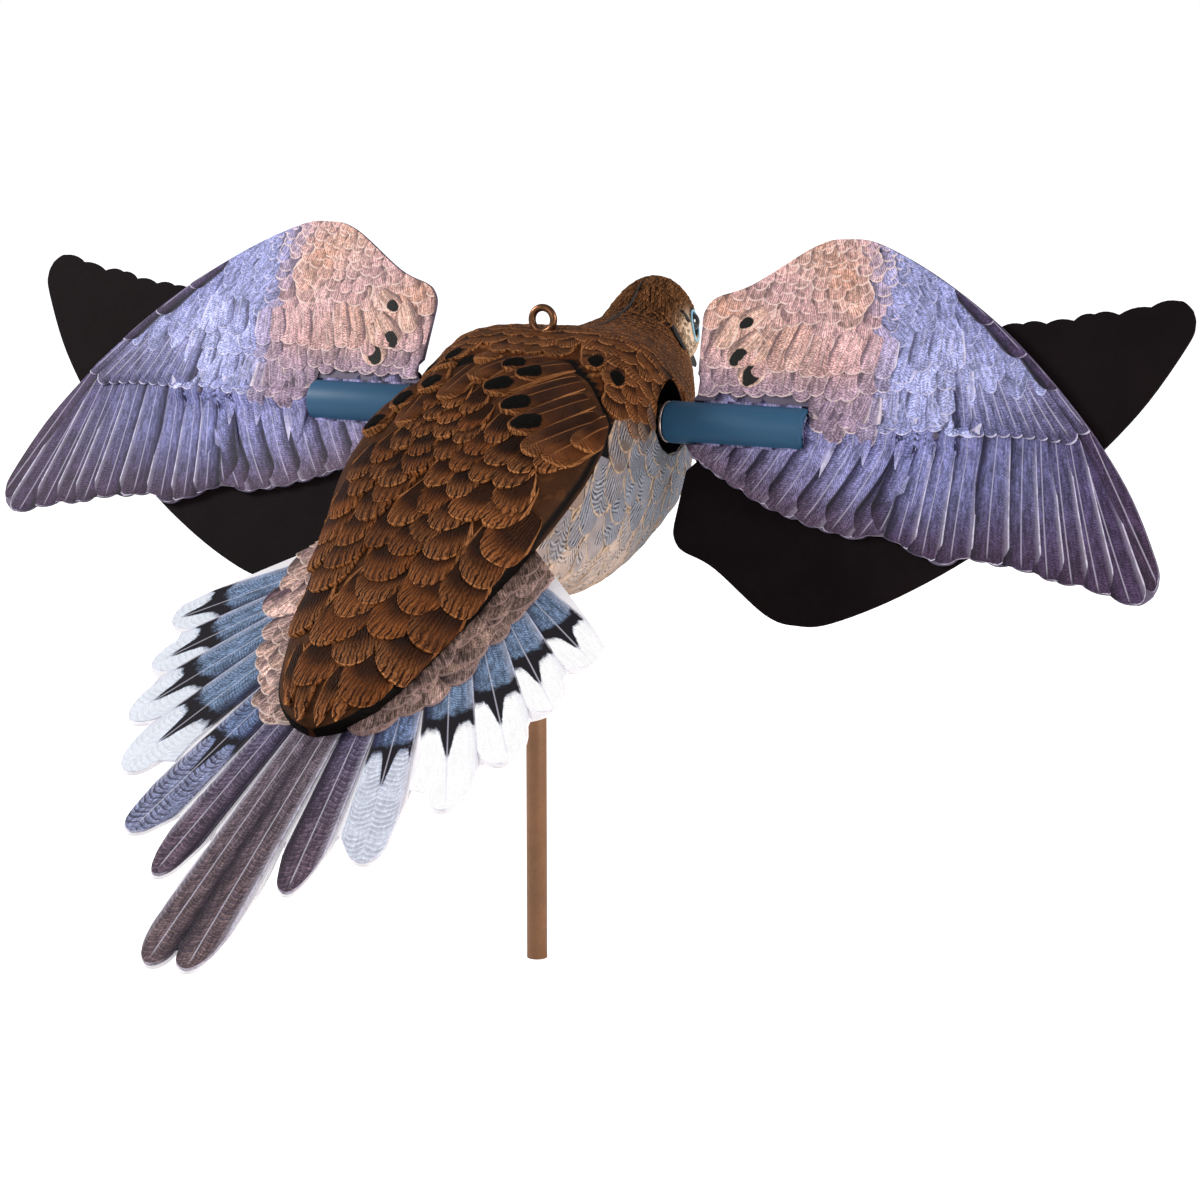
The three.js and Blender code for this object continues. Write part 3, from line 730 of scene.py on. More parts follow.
def plain_paint(name, colour, rough, grain=1200.0, depth=0.25, bump=0.00005, **settings):
    """One colour with a fine grain; its roughness wanders a little."""
    m, w, shader, place = start_material(name, Roughness=rough, **settings)
    soft = w.group(mottle, Place=place, Broad=60.0, Fine=grain, Colour=colour, Depth=depth)
    w.feed(shader, Base_Color=soft["Colour"], Normal=w.bump(soft["Grain"], bump, 0.6),
           Roughness=w.ramp(soft["Grain"], 0.3, 0.7, rough - 0.06, rough + 0.06))
    return m


# name, barb pitch, rim width and strength, slits, light on the tips, shade at the root, quill
carved = carved_feather_paint("back_feather_paint", 2.7, 0.8, 1.0, 1.0, 0.42, 0.2)
mantle_paint = carved_feather_paint("mantle_feather_paint", 1.6, 0.9, 1.0, 0.9, 0.5, 0.25)
shoulder_paint = carved_feather_paint("shoulder_feather_paint", 1.25, 1.0, 1.2, 0.8, 0.3, 0.45, 0.6)
flank_paint = flank_feather_paint()
# name, rim width, barb pitch, rim strength, streaks, where a feather tucks under and how dark, crest
wing_ink = printed_feather_ink("wing_print_ink", 0.62, 1.0, 0.8, 0.42, (0.2, 0.95), 1.0, 0.2)
covert_ink = printed_feather_ink("wing_covert_ink", 0.8, 0.9, 0.95, 0.38, (0.3, 1.0), 0.75, 0.2)
tertial_ink = printed_feather_ink("wing_tertial_ink", 0.6, 1.1, 0.95, 0.38, (0.45, 1.0), 0.85, 0.3)
tail_ink = printed_feather_ink("tail_print_ink", 0.55, 1.25, 0.6, 0.46, (0.2, 1.0), 1.0, 0.25, True)
rump_ink = printed_feather_ink("tail_covert_ink", 0.7, 0.9, 0.85, 0.68, (0.0, 1.0), 1.0, 0.3)
moulding = moulding_paint()
# name, colour, roughness, grain's fineness and depth, bump
# the printed blade's ground is dark: painted shade in the gaps between the printed feathers
wing_ground = plain_paint("wing_print_ground", paint(84, 74, 98), 0.5, 1500.0, 0.5)
tail_ground = plain_paint("tail_print_ground", paint(242, 239, 244), 0.5, 1500.0, 0.2)
dark_sheet = plain_paint("dark_sheet", paint(16, 9, 11), 0.75, 1800.0, 0.5, 0.00008, Specular_IOR_Level=0.08)
bronze = plain_paint("bronze_plating", paint(112, 76, 52), 0.3, 700.0, 0.5, 0.00004, Metallic=0.9)
steel = plain_paint("satin_steel", paint(190, 172, 170), 0.3, 1400.0, 0.2, 0.00003, Metallic=1.0)
rubber = plain_paint("blue_grey_rubber", paint(42, 84, 116), 0.5, 1500.0, 0.14, Specular_IOR_Level=0.3)
pole_paint = plain_paint("tan_pole_paint", paint(126, 86, 55), 0.36, 900.0, 0.35, 0.00004)
eye_gloss = plain_paint("eye_gloss", paint(14, 14, 18), 0.12, 500.0, 0.1, 0.00001, Coat_Weight=0.6)
eye_ring_blue = plain_paint("eye_ring_blue", paint(150, 205, 232), 0.4, 900.0, 0.2)
bill_black = plain_paint("bill_black", paint(30, 26, 27), 0.45, 900.0, 0.3)


# ---------------------------------------------------------------- the moulded body
BROWN, BROWN_WARM = paint(74, 38, 15), paint(93, 49, 19)
ORANGE_TAN, WARM_TAN, HONEY = paint(192, 126, 76), paint(174, 108, 60), paint(216, 164, 112)
GOLD, CREAM, CREAM_EDGE = paint(176, 122, 76), paint(238, 208, 182), paint(240, 214, 184)
PALE_GREY, BUFF, PEACH = paint(120, 122, 134), paint(204, 174, 146), paint(232, 196, 168)
BREAST_BROWN, FLANK_BROWN, SHADE_AND_EYE_BLACK = paint(150, 104, 72), paint(138, 108, 84), paint(6, 4, 4)
SLAB_BROWN, SLAB_TAN = paint(60, 35, 19), paint(92, 56, 32)
# painted shade for the folded wings' side walls
WALL_BLACK, WALL_BROWN = paint(7, 4, 3), paint(10, 6, 4)
EYE, EYE_RADIUS = np.array([14.4, -91.5, 28.0]), 4.2
# Bill rings, tip to root: y, z, radius
BILL = np.array([[-126, 6.2, 0.5], [-124.5, 7.6, 1.5], [-119, 11.6, 2.7], [-112, 15.5, 3.6],
                 [-104, 18.5, 4.6]])


def blend(c0, c1, t):
    """From one colour to the other, place by place."""
    return (np.broadcast_to(c0, (len(t), 3)) * (1 - t)[:, None]
            + np.broadcast_to(c1, (len(t), 3)) * t[:, None])


def between(x, xs, ys):
    return float(np.interp(x, xs, ys))


def wing_footprint():
    """The folded wings' outline on the back, as x and way along."""
    a = steps(9, 196, 90)
    wide = wing_curves[1](a)
    return np.r_[np.stack([wide, a], -1), np.stack([-wide, a], -1)[::-1]]


FOOTPRINT = wing_footprint()


def on_wings(p):
    """Places' way along the folded wings, and height above their plane."""
    y, z = p[:, 1] - BACK_Y, p[:, 2] - BACK_Z
    return y * COS_B - z * SIN_B, y * SIN_B + z * COS_B


def from_wings(p):
    """How far places on the trunk are outside the folded wings' outline, seen square to the back; places
    well below the wings' rim count as far away."""
    along, above = on_wings(p)
    flat = np.stack([p[:, 0], along], -1)
    below = np.clip(wing_curves[2](along) - 6.5 - above, 0, None)
    return np.linalg.norm(flat - kept_inside(flat, FOOTPRINT), axis=1) + below


def socket_reach(y, z):
    """How far out a place is from the wing socket's middle: 1 on its edge."""
    return np.hypot((y - SOCKET_Y) / SOCKET_LONG, (z - SOCKET_Z) / SOCKET_HIGH)


def body_colours(p):
    """Base and raised-edge paint for places on the trunk, with painted shade inside the wing socket."""
    x, y, z = p[:, 0], p[:, 1], p[:, 2]
    low = np.interp(y, [-80, -55, -22, 12, 30, 42, 52, 62, 80], [-46, -26, -6, 0, -3, -6, -8, 10, 60])
    pale = ramp(low - z, -4, 4)
    breast = ramp(-y, 22, 50) * ramp(-z, -8, 10) * (1 - pale)
    face = ramp(-y + 0.25 * (27 - z) + 0.5 * np.abs(x), 70, 98) * (1 - 0.75 * ramp(z, 26, 38))
    cheek = ramp(np.hypot((y + 85) / 13, (z - 19) / 13), 1.45, 0.5) * ramp(np.abs(x), 8, 12)
    peach = ramp(-z - 0.1 * y, 32, 50) * ramp(y, 0, 36) * pale * 0.65
    rubbed = np.maximum(1 - ramp(np.abs(low - z), 1, 11), 1 - ramp(from_wings(p), 5, 17))
    warm = pale * rubbed * ramp(y, -10, 30)
    base, edge = BROWN, blend(ORANGE_TAN, HONEY, face)
    for colour, amount in ((GOLD, face * 0.75), (BREAST_BROWN, breast), (PALE_GREY, pale),
                           (PEACH, peach * 0.85), (FLANK_BROWN, warm * 0.7), (CREAM, cheek)):
        base = blend(base, colour, amount)
    edge = blend(blend(edge, BUFF, pale), CREAM_EDGE, cheek)
    # darker over the crown, and high on the flank
    crown = ramp(z, 24, 36) * ramp(-y, 40, 56) * (1 - cheek) * (1 - 0.6 * face)
    upper = pale * ramp(low - z, 26, 4) * ramp(y, -20, 0)
    base = base * (1 - 0.5 * crown[:, None]) * (1 - 0.4 * upper[:, None])
    edge = edge * (1 - 0.45 * crown[:, None]) * (1 - 0.12 * upper[:, None])
    # painted shade inside the wing socket; the black round each eye is the bird's own
    inside = (socket_reach(y, z) < 1.012) & (np.abs(x) < 48) & (np.abs(x) > SOCKET_DEPTH - 1)
    lash = np.linalg.norm(np.stack([np.abs(x) - 15.5, y - EYE[1], (z - EYE[2]) * 0.9], -1), axis=1) < 5.4
    base[inside | lash] = edge[inside | lash] = SHADE_AND_EYE_BLACK
    return base, edge


def socket_cutter(side):
    """The hollow round a wing hub: a little wider along the bird than it is high."""
    middle = side * (SOCKET_END + SOCKET_DEPTH) / 2
    rod(SOCKET_HIGH, SOCKET_END - SOCKET_DEPTH, [middle, SOCKET_Y, SOCKET_Z], 72)
    bpy.ops.transform.resize(value=(1, SOCKET_LONG / SOCKET_HIGH, 1),
                             center_override=tuple(in_row([0, SOCKET_Y, SOCKET_Z])))
    return settled()


def trunk():
    around = 144
    angles = steps(0, 2 * math.pi, around + 1)[:-1]
    o = lofted("trunk", lambda at: trunk_ring(at, angles), steps(0, float(trunk_at[-1]), 170), around)
    for side in (-1, 1):
        cut_away(o, socket_cutter(side))
    cut_away(o, rod(BORE_RADIUS, 80, [0, 0, 0], 32))
    co = places(o)
    # painted shadow in the groove under the folded wings' overhanging rim
    beside = (1 - ramp(from_wings(co), 1.9, 2.7)) * ramp(np.abs(co[:, 0]), 12, 20)
    for key, colours in zip(("tint", "trim"), body_colours(co)):
        give(o, key, blend(colours, SHADE_AND_EYE_BLACK, beside))
    finish_piece(o, "trunk_moulding", moulding, ["decoy_body"])


def folded_wings():
    across = 61
    angles = steps(-math.pi / 2, math.pi / 2, across)

    def ring(along):
        _, wide, rim, _ = [float(f(along)) for f in wing_curves]
        under = on_back(np.array([0.985, 0.93, 0.0, -0.93, -0.985]) * wide, along,
                        np.array([0.6, 0, 0, 0, 0.6]) + rim)
        return np.vstack([wing_ring(along, angles), under])
    o = lofted("folded_wings", ring, steps(9.0, 196.0, 130), across + 5)
    co = places(o)
    along, _ = on_wings(co)
    wide = wing_curves[1](along)
    # painted shade on the side walls, spreading further towards the tail
    wall = ramp(np.abs(co[:, 0]) / np.maximum(wide, 1) + 0.05 * ramp(along, 90, 130), 0.98, 0.995)
    give(o, "tint", blend(SLAB_BROWN, WALL_BLACK, wall))
    give(o, "trim", blend(SLAB_TAN, WALL_BROWN, wall))
    finish_piece(o, "folded_wings_moulding", moulding)


# Feather tips read off the real back: across (minus is the bird's right) and along the back
BACK_TIPS = [(-11.8, 187), (-20.9, 174), (5, 165), (3.7, 154), (-0.8, 147), (-2, 137), (-24.9, 158),
             (-29.3, 141), (-31.8, 127), (-33, 115), (-12.8, 109), (-6.5, 117), (-3.6, 123.5), (-17, 103),
             (-28.6, 102), (-31.6, 96), (18.4, 131), (20.7, 141), (17, 106.5), (16, 98), (15.8, 90),
             (8.4, 167), (7.4, 184), (33.6, 84.5), (0, 88), (-6.4, 79), (12, 73), (-8.5, 71), (-14, 63),
             (-26, 84), (-27.5, 76), (7, 63)]
# Long shoulder feathers: tip across and along, lean, length, width, and how black their spot is
SHOULDER = [(2.6, 18.5, 0.88, 26, 11, 1), (-5.8, 24, 0.84, 27, 12, 1), (3, 33.5, 0.78, 31, 13.5, 1),
            (-8.7, 44, 0.72, 32, 14, 1), (-17.4, 55, 0.64, 33, 14.5, 1), (-27.8, 66, 0.55, 34, 16.5, 0),
            (-36.5, 68, 0.42, 31, 13.5, 0), (-43, 57, 0.26, 25, 11, 0), (28, 18.6, -0.5, 24, 12, 1),
            (26.4, 34.5, -0.3, 27, 12.5, 1), (34.8, 44, -0.22, 28, 12.5, 1), (41, 57, -0.15, 29, 12.5, 1),
            (12.1, 27, 0.5, 24, 12, 0), (17.5, 40, 0.1, 26, 12, 0), (27, 55, -0.1, 27, 12, 0),
            (14, 15, 0.1, 22, 12, 0)]
SLAB_END, SLAB_FRONT = 194, 44


def back_width(along):
    """How wide the back's feathers are so far along it."""
    return between(along, [15, 50, 75, 100, 130, 160, 185], [9.5, 10.5, 12.5, 14.8, 17.3, 19.2, 20])


def filled_back_tips():
    """The tips read off the back, with others guessed wherever there is room between them."""
    tips = [(float(back_skin.out_at(along, x)), along) for x, along in BACK_TIPS]
    guess = random.Random(5)
    for row in range(150):
        along = SLAB_END - row * 1.05
        if along < SLAB_FRONT:
            break
        margin = 3 if along > 120 else 9
        reach = back_skin.reach_at(along) - margin
        for _ in range(30):
            out = guess.uniform(-reach, reach)
            w = back_width(along)
            if all(((out - o) / (0.72 * w)) ** 2 + ((along - a) / (0.7 * w)) ** 2 > 1 for o, a in tips):
                edge = reach + margin - abs(out)
                if edge > (15 if along < 92 else 8.5) and (along > 62 + 0.25 * abs(out)
                                                           or (1 < out < 24 and along > 42)):
                    tips.append((out, along))
    return sorted(tips, key=lambda t: t[1])


def back_feathers():
    pile = Feathers(34, 8, back_skin, sink=0.8)
    for out, along in filled_back_tips():
        w = back_width(along)
        light = rng.uniform(0.8, 1.2)
        shade = dimmed(BROWN if rng.random() < 0.55 else BROWN_WARM, light)
        glow = rng.uniform(0.75, 1.1)
        if along > 182:
            w *= 0.85
        pile.add(along + rng.uniform(-0.5, 0.5), out, turn=-out * 0.0025 + rng.uniform(-0.2, 0.2),
                 long=w * 1.7, wide=w * rng.uniform(0.98, 1.14), tip=0.56, spread=0.56,
                 proud=rng.uniform(2.3, 3.4), droop=0.65, barbs=8, flute=0.12, tint=shade,
                 trim=dimmed(ORANGE_TAN if rng.random() < 0.6 else WARM_TAN, glow))
    for out, along, lean in ((-9, 192.5, 0.25), (10, 190, -0.3), (-3.5, 195, 0.1), (3.5, 194.5, -0.15)):
        pile.add(along, out, turn=lean, long=27, wide=8, tip=0.8, root=0.4, spread=0.5, proud=2.2, droop=0.6,
                 barbs=6, flute=0.1, tint=BROWN_WARM, trim=ORANGE_TAN)
    pile.build("back_feathers", carved)
    pile = Feathers(24, 16, back_skin, tip=0.36, root=0.62, proud=3.8, droop=0.75, barbs=11, flute=0.06,
                    kind=1.0, trim=ORANGE_TAN, sink=0.6)
    for x, along, turn, long, wide, spot in sorted(SHOULDER, key=lambda t: t[1]):
        pile.add(along, back_skin.out_at(along, x), turn=turn, long=long, wide=wide * 1.06,
                 tint=dimmed(BROWN_WARM, rng.uniform(0.85, 1.1)), spot=spot)
    pile.build("shoulder_feathers", shoulder_paint)


class RoundSocket:
    """The trunk's skin, with what would cover the wing socket drawn back to its edge."""

    def spot(self, along, out, above=0.0):
        p = trunk_skin.spot(along, out, above)
        far = np.maximum(socket_reach(p[..., 1], p[..., 2]), 1e-6)
        gain = np.where((far < SOCKET_RIM) & (np.abs(p[..., 0]) > 20), SOCKET_RIM / far, 1.0)
        p[..., 1] = SOCKET_Y + (p[..., 1] - SOCKET_Y) * gain
        p[..., 2] = SOCKET_Z + (p[..., 2] - SOCKET_Z) * gain
        return p


SOCKET_RIM = 1.015
socket_skin = RoundSocket()


def on_trunk(at, out):
    return trunk_skin.spot(at, out)[None, :]


def out_on_ring(at, degrees):
    """How far out on the trunk's skin an angle of its ring lies."""
    p = trunk_ring(at, steps(0, math.radians(abs(degrees)), 200))
    return math.copysign(float(np.linalg.norm(np.diff(p, axis=0), axis=1).sum()), degrees)


def mantle_feathers():
    """Small wavy rows over the mantle and neck."""
    pile = Feathers(12, 5, socket_skin)
    at, row = 46.0, 0
    while at < 150:
        grow = float(ramp(at, 46, 100))
        wide = 3.6 + 5.6 * grow
        limit = trunk_skin.reach_at(at) * between(at, [46, 60, 75, 95, 136], [0.74, 0.68, 0.66, 0.66, 0.64])
        count = int(2 * limit / (wide * 0.86))
        for i in range(count + 1):
            out = -limit + 2 * limit * (i + 0.5 * (row % 2)) / count
            p = on_trunk(at + 0.5 * wide, out)
            x, y, z = p[0]
            near = float(from_wings(p)[0])
            floor = between(y, [-20, 12, 40, 50], [-7, -2, -6, -9])
            if socket_reach(y, z) < 1.06 or z < floor or near < (3.2 if abs(x) > 16 else 0.1):
                continue
            base, edge = body_colours(p)
            light = rng.uniform(0.75, 1.2)
            wave = 0.5 * math.sin(out * 0.16 + row * 0.9)
            pile.add(at + 0.5 * wide + rng.uniform(-0.7, 0.7) + wave, out + rng.uniform(-0.6, 0.6),
                     turn=rng.uniform(-0.3, 0.3) + out * 0.002, long=wide * 1.7,
                     wide=wide * rng.uniform(1.05, 1.45), tip=0.42, proud=0.7 + 0.9 * grow, droop=0.45,
                     barbs=4, flute=0.08, tint=base[0] * light, trim=edge[0] * rng.uniform(0.75, 1.15),
                     sink=0.4, kind=1.0 if rng.random() < 0.5 else 0.0)
        at += 2.3 + 2.7 * grow
        row += 1
    for at, degrees in ((118.7, 35), (123, 45)):
        for side in (-1, 1):
            out = side * out_on_ring(at, degrees)
            base, edge = body_colours(on_trunk(at, out))
            pile.add(at + 4, out, turn=side * 0.5, long=20, wide=10, tip=0.35, root=0.6, proud=2.1, droop=0.4,
                     tint=base[0], trim=edge[0], spot=1.0, kind=1.0)
    pile.build("mantle_feathers", mantle_paint)


def head_ridges():
    """Short raised strokes over the crown, nape and neck."""
    pile = Feathers(3, 2, trunk_skin, tip=0.3, root=0.45, droop=0.8, sink=0.35)
    at, row = 7.0, 0
    while at < 54:
        limit = trunk_skin.reach_at(at) * between(at, [7, 20, 30, 54], [0.5, 0.66, 0.8, 0.8])
        count = max(4, int(2 * limit / 1.75))
        for i in range(count + 1):
            out = -limit + 2 * limit * (i + 0.5 * (row % 2)) / count + rng.uniform(-0.3, 0.3)
            p = on_trunk(at, out)
            x, y, z = p[0]
            cheek = y < -64 and abs(x) > 10 and z < 31
            if math.dist((abs(x), y, z), (15, -91, 28)) < 7.5 or (cheek and (z < 10 or rng.random() < 0.35)):
                continue
            base, edge = body_colours(p)
            slant = 0.55 * math.sin(out * 0.13) + rng.uniform(-0.45, 0.45)
            light = rng.uniform(0.6, 1.3)
            pile.add(at + 2.4 + rng.uniform(-0.7, 0.7), out, turn=slant, long=rng.uniform(2.6, 4.2),
                     wide=rng.uniform(1.3, 2.0), proud=rng.uniform(0.6, 1.0) * (0.45 if cheek else 1),
                     tint=base[0] * light, trim=edge[0] * light)
        at += 2.1
        row += 1
    pile.build("head_ridges", mantle_paint, 60)


def flank_feathers():
    pile = Feathers(18, 8, socket_skin, tip=0.5, proud=1.15, droop=0.5, sink=0.4)
    at, row = 92.0, 0
    while at < 214:
        wide = between(at, [92, 130, 180, 214], [11, 13.5, 12.5, 10])
        reach = trunk_skin.reach_at(at)
        for side in (-1, 1):
            out = wide * 0.5 * (row % 2)
            while out < reach * 0.8:
                place = side * (reach - out)
                p = on_trunk(at + 5, place)
                x, y, z = p[0]
                base, edge = body_colours(p)
                edge_z = between(y, [-60, -50, -22, 12, 42, 52, 62], [-60, -24, -9, -3, -8, -10, 60])
                if z < edge_z and socket_reach(y, z) > 1.08 and out > 2 and float(from_wings(p)[0]) > 2.4:
                    pile.add(at + 5 + rng.uniform(-1, 1), place + rng.uniform(-1.5, 1.5),
                             turn=side * rng.uniform(-0.35, 0.55), long=wide * 1.5,
                             wide=wide * rng.uniform(0.85, 1.25), tint=base[0] * rng.uniform(0.92, 1.08),
                             trim=edge[0], kind=1.0 if rng.random() < 0.6 else 0.0)
                out += wide * 0.9
        at += wide * 0.66
        row += 1
    pile.build("flank_feathers", flank_paint)


def slit(name, line, width, lift):
    """A thin dark cut along the trunk: a sliver that lies just proud of the paint."""
    at, out = np.array(line, float).T
    fat = width / 2 * np.sqrt(np.clip(1 - (2 * steps(0, 1, len(at)) - 1) ** 2, 0.02, 1))
    run = np.stack([np.gradient(at), np.gradient(out)], -1)
    run /= np.linalg.norm(run, axis=1)[:, None]
    edges = [trunk_skin.spot(at - run[:, 1] * fat * move, out + run[:, 0] * fat * move, above)
             for move, above in ((1, lift - 0.5), (0.45, lift), (-0.45, lift), (-1, lift - 0.5), (0, -0.6))]
    end = 5 * len(at)
    faces = tube_faces(len(at), 5) + [tuple(range(5))[::-1], tuple(range(end - 5, end))]
    o = face_outward(new_mesh(name, np.stack(edges, 1).reshape(-1, 3), faces))
    finish_piece(o, name, bill_black)


def eye_lid(name, side, ring):
    """A pale blue bead that runs round the eye, drawn out to a point below it."""
    points, around = [], 8
    spots = [(at, side * out_on_ring(at, degrees)) for at, degrees in ring]
    centre = np.mean([trunk_skin.spot(*s) for s in spots], axis=0)
    for s in spots:
        p = trunk_skin.spot(*s, 0.25)
        inwards = centre - p
        inwards /= np.linalg.norm(inwards)
        outwards = np.array([side, 0.0, 0.0])
        for a in steps(0, 2 * math.pi, around + 1)[:-1]:
            points.append(p + 0.45 * (math.cos(a) * outwards + math.sin(a) * inwards))
    o = face_outward(new_mesh(name, points, tube_faces(len(ring), around, closed=True)))
    finish_piece(o, name, eye_ring_blue, (), 60)


def head_details():
    for side, name in ((-1, "right"), (1, "left")):
        centre = in_row(EYE * (side, 1, 1))
        bpy.ops.mesh.primitive_uv_sphere_add(segments=40, ring_count=24, radius=EYE_RADIUS / 1000,
                                             location=centre)
        bpy.ops.transform.resize(value=(0.84, 0.92, 0.98), center_override=tuple(centre))
        finish_piece(settled(), f"eye_{name}", eye_gloss)
        ring = [(20.0 + math.sin(t) * 4.0, 77 - math.cos(t) * 12 * (1.75 if math.cos(t) < 0 else 1.0))
                for t in steps(0, 2 * math.pi, 49)[:-1]]
        eye_lid(f"eye_ring_{name}", side, ring)
        ear = [(42.6 + 7 * t, side * out_on_ring(42.6 + 7 * t, 46 + 19 * t)) for t in steps(0, 1, 16)]
        slit(f"ear_slit_{name}", ear, 3.0, 1.7)
        brow = [(30.2 - 3.2 * t, side * out_on_ring(30.2 - 3.2 * t, 56 + 16 * t)) for t in steps(0, 1, 12)]
        slit(f"eye_line_{name}", brow, 1.7, 1.2)
    slit("nape_seam", [(a, out_on_ring(a, 2.0)) for a in steps(30, 66, 40)], 1.0, 1.1)
    curves = [through(steps(0, 1, len(BILL)), BILL[:, k]) for k in range(3)]
    angles = steps(0, 2 * math.pi, 25)[:-1]

    def ring(t):
        y, z, r = [float(f(t)) for f in curves]
        return np.stack([np.sin(angles) * r, y + np.cos(angles) * r * 0.5, z + np.cos(angles) * r * 0.9], -1)
    finish_piece(lofted("bill", ring, steps(0, 1, 24), 24), "bill", bill_black)


# ---------------------------------------------------------------- the tail fan
FAN_ROOT = 80.0
BLUE, WHITE = paint(104, 124, 154), paint(250, 250, 252)
ICE, SLATE = paint(206, 216, 234), paint(126, 132, 164)
COVERT_BUFF, COVERT_GREY, TAIL_TRIM = paint(190, 156, 142), paint(140, 120, 134), paint(216, 214, 232)
COVERT_TRIM, COVERT_SHADED = paint(230, 208, 198), paint(160, 134, 130)
# angle from the middle, length, width, place and length of the black band, colours of root and tip
TAIL = [(1.95, 223, 15.6, 0, 0, paint(100, 90, 104), paint(98, 80, 84)),
        (7.9, 187.5, 15.4, 0, 0, paint(90, 92, 126), paint(96, 78, 92)),
        (14.9, 174.5, 18.5, 0.675, 0.025, paint(104, 122, 160), paint(206, 212, 228)),
        (24.2, 155.5, 21.5, 0.69, 0.045, BLUE, WHITE), (33.0, 139.5, 20.5, 0.71, 0.052, BLUE, WHITE),
        (41.7, 121.5, 19.5, 0.72, 0.06, BLUE, WHITE), (51.8, 109, 19, 0.735, 0.065, BLUE, WHITE)]
LEFT_BAND_FURTHER = 0.06


def mixed(a, b, t):
    t = float(np.clip(t, 0, 1))
    return [p * (1 - t) + q * t for p, q in zip(a, b)]


def rounded(points):
    """Corner cutting, which turns a coarse outline into a smooth one."""
    p = np.array(points, float)
    q = np.roll(p, -1, 0)
    return np.stack([p * 0.78 + q * 0.22, p * 0.22 + q * 0.78], 1).reshape(-1, 2)


def fan_lay(along, out, above):
    return on_back(out, along, above)


def tail():
    outline = rounded([[-x, y] for x, y in reversed(FAN)] + [[0, 292.6]] + FAN)
    o = flat_sheet("tail_fan", outline, fan_lay, FAN_THICK)
    finish_piece(o, "tail_fan_sheet", tail_ground, ["tail_fan"], 30)
    sheet = Sheet(fan_lay, grown(outline, -0.35))
    pile = Feathers(16, 34, sheet, root=0.16, spread=0.7, droop=0.22, trim=TAIL_TRIM, kind=1.0, sink=0.2)
    for k, (angle, long, wide, band, band_wide, root, end) in reversed(list(enumerate(TAIL))):
        for side in (-1, 1):
            a = math.radians(angle) * side
            x, y = (long - 0.2) * math.sin(a), FAN_ROOT + (long - 0.2) * math.cos(a)
            bars, tip_colour, further = [0.45, 0.6, 0.75, 0.12][min(k, 3)], end, 0.0
            if side == 1 and k == 2:
                tip_colour, further = SLATE, LEFT_BAND_FURTHER / 2
            elif side == 1 and band:
                tip_colour, further = mixed(end, ICE, 0.6), LEFT_BAND_FURTHER
            elif side == -1 and k > 1:
                bars = 0.3 if k == 2 else 0.0
            light = rng.uniform(0.88, 1.05) * (1.12 if side > 0 else 0.96)
            pile.add(y, x, turn=a, long=long - 6, wide=wide, tip=wide * 0.8 / long,
                     proud=0.35 + 0.07 * (6 - k), lie=0.05 + 0.05 * (6 - k), tint=dimmed(root, light),
                     end=tip_colour, band=band + further if band else 0.0, band_wide=band_wide, hand=-side,
                     spot=bars)
    pile.build("tail_feathers_print", tail_ink, 50)
    # buff coverts over the feathers' roots, beside the folded wings; those on the right carry painted shadow
    # from the folded wings
    pile = Feathers(14, 6, sheet, tip=0.5, droop=0.5, sink=0.3)
    for ring in (2, 1, 0):
        along = 97.0 + 3.5 * (ring % 2)
        while along < 188:
            rim = float(wing_curves[1](along))
            for side in (-1, 1):
                beyond = 3.2 + ring * 4.9 + rng.uniform(-1.8, 1.8)
                x = side * (rim + beyond * between(along, [97, 120, 165, 188], [0.7, 1.0, 0.95, 0.4]))
                # the right-hand coverts are dimmed, with a shaded trim: painted shadow cast by the folded
                # wings
                light = rng.uniform(0.6, 1.45) * (1.02 if side > 0 else 0.46)
                tint = dimmed(mixed(COVERT_BUFF, COVERT_GREY, rng.uniform(0.0, 0.35)), light)
                pile.add(along + 4 + rng.uniform(-2, 2), x,
                         turn=side * (0.42 + 0.1 * ring + rng.uniform(-0.35, 0.35)), long=rng.uniform(22, 34),
                         wide=rng.uniform(13, 20), proud=1.4 + 0.5 * (2 - ring), lie=0.3 + 0.3 * (2 - ring),
                         tint=tint, end=dimmed(tint, 1.15), trim=COVERT_SHADED if side < 0 else COVERT_TRIM,
                         kind=1.0 if rng.random() < 0.5 else 0.0)
            along += 8.2
    pile.build("tail_coverts_print", rump_ink, 50)


# ---------------------------------------------------------------- the wings
def spline(points, per=6):
    p = np.array(points, float)
    p = np.vstack([2 * p[0] - p[1], p, 2 * p[-1] - p[-2]])
    out = []
    for i in range(1, len(p) - 2):
        for t in steps(0, 1, per + 1)[:-1]:
            a, b, c, d = p[i - 1:i + 3]
            out.append(0.5 * (2 * b + (c - a) * t + (2 * a - 5 * b + 4 * c - d) * t * t
                              + (3 * b - a - 3 * c + d) * t ** 3))
    return out + [p[-2]]


# The blade's inner end: a notch round the sleeve, then up to the leading edge
ROOT_EDGE = ((58, -8.3), (105.7, -8.3), (105.7, 8.3), (58.5, 8.3), (62.5, 14.5), (58.9, 18.1))


def blade_outline():
    line = spline(LEADING)
    last = line[-1]
    for q in TRAILING:
        q = np.array(q, float)
        bulge = (last + q) / 2 + (-0.8, -2.2)
        for t in (0.2, 0.4, 0.6, 0.8, 1.0):
            line.append((1 - t) ** 2 * last + 2 * t * (1 - t) * bulge + t * t * q)
        last = q
    line += [np.array(q) for q in ROOT_EDGE]
    return np.array(line)


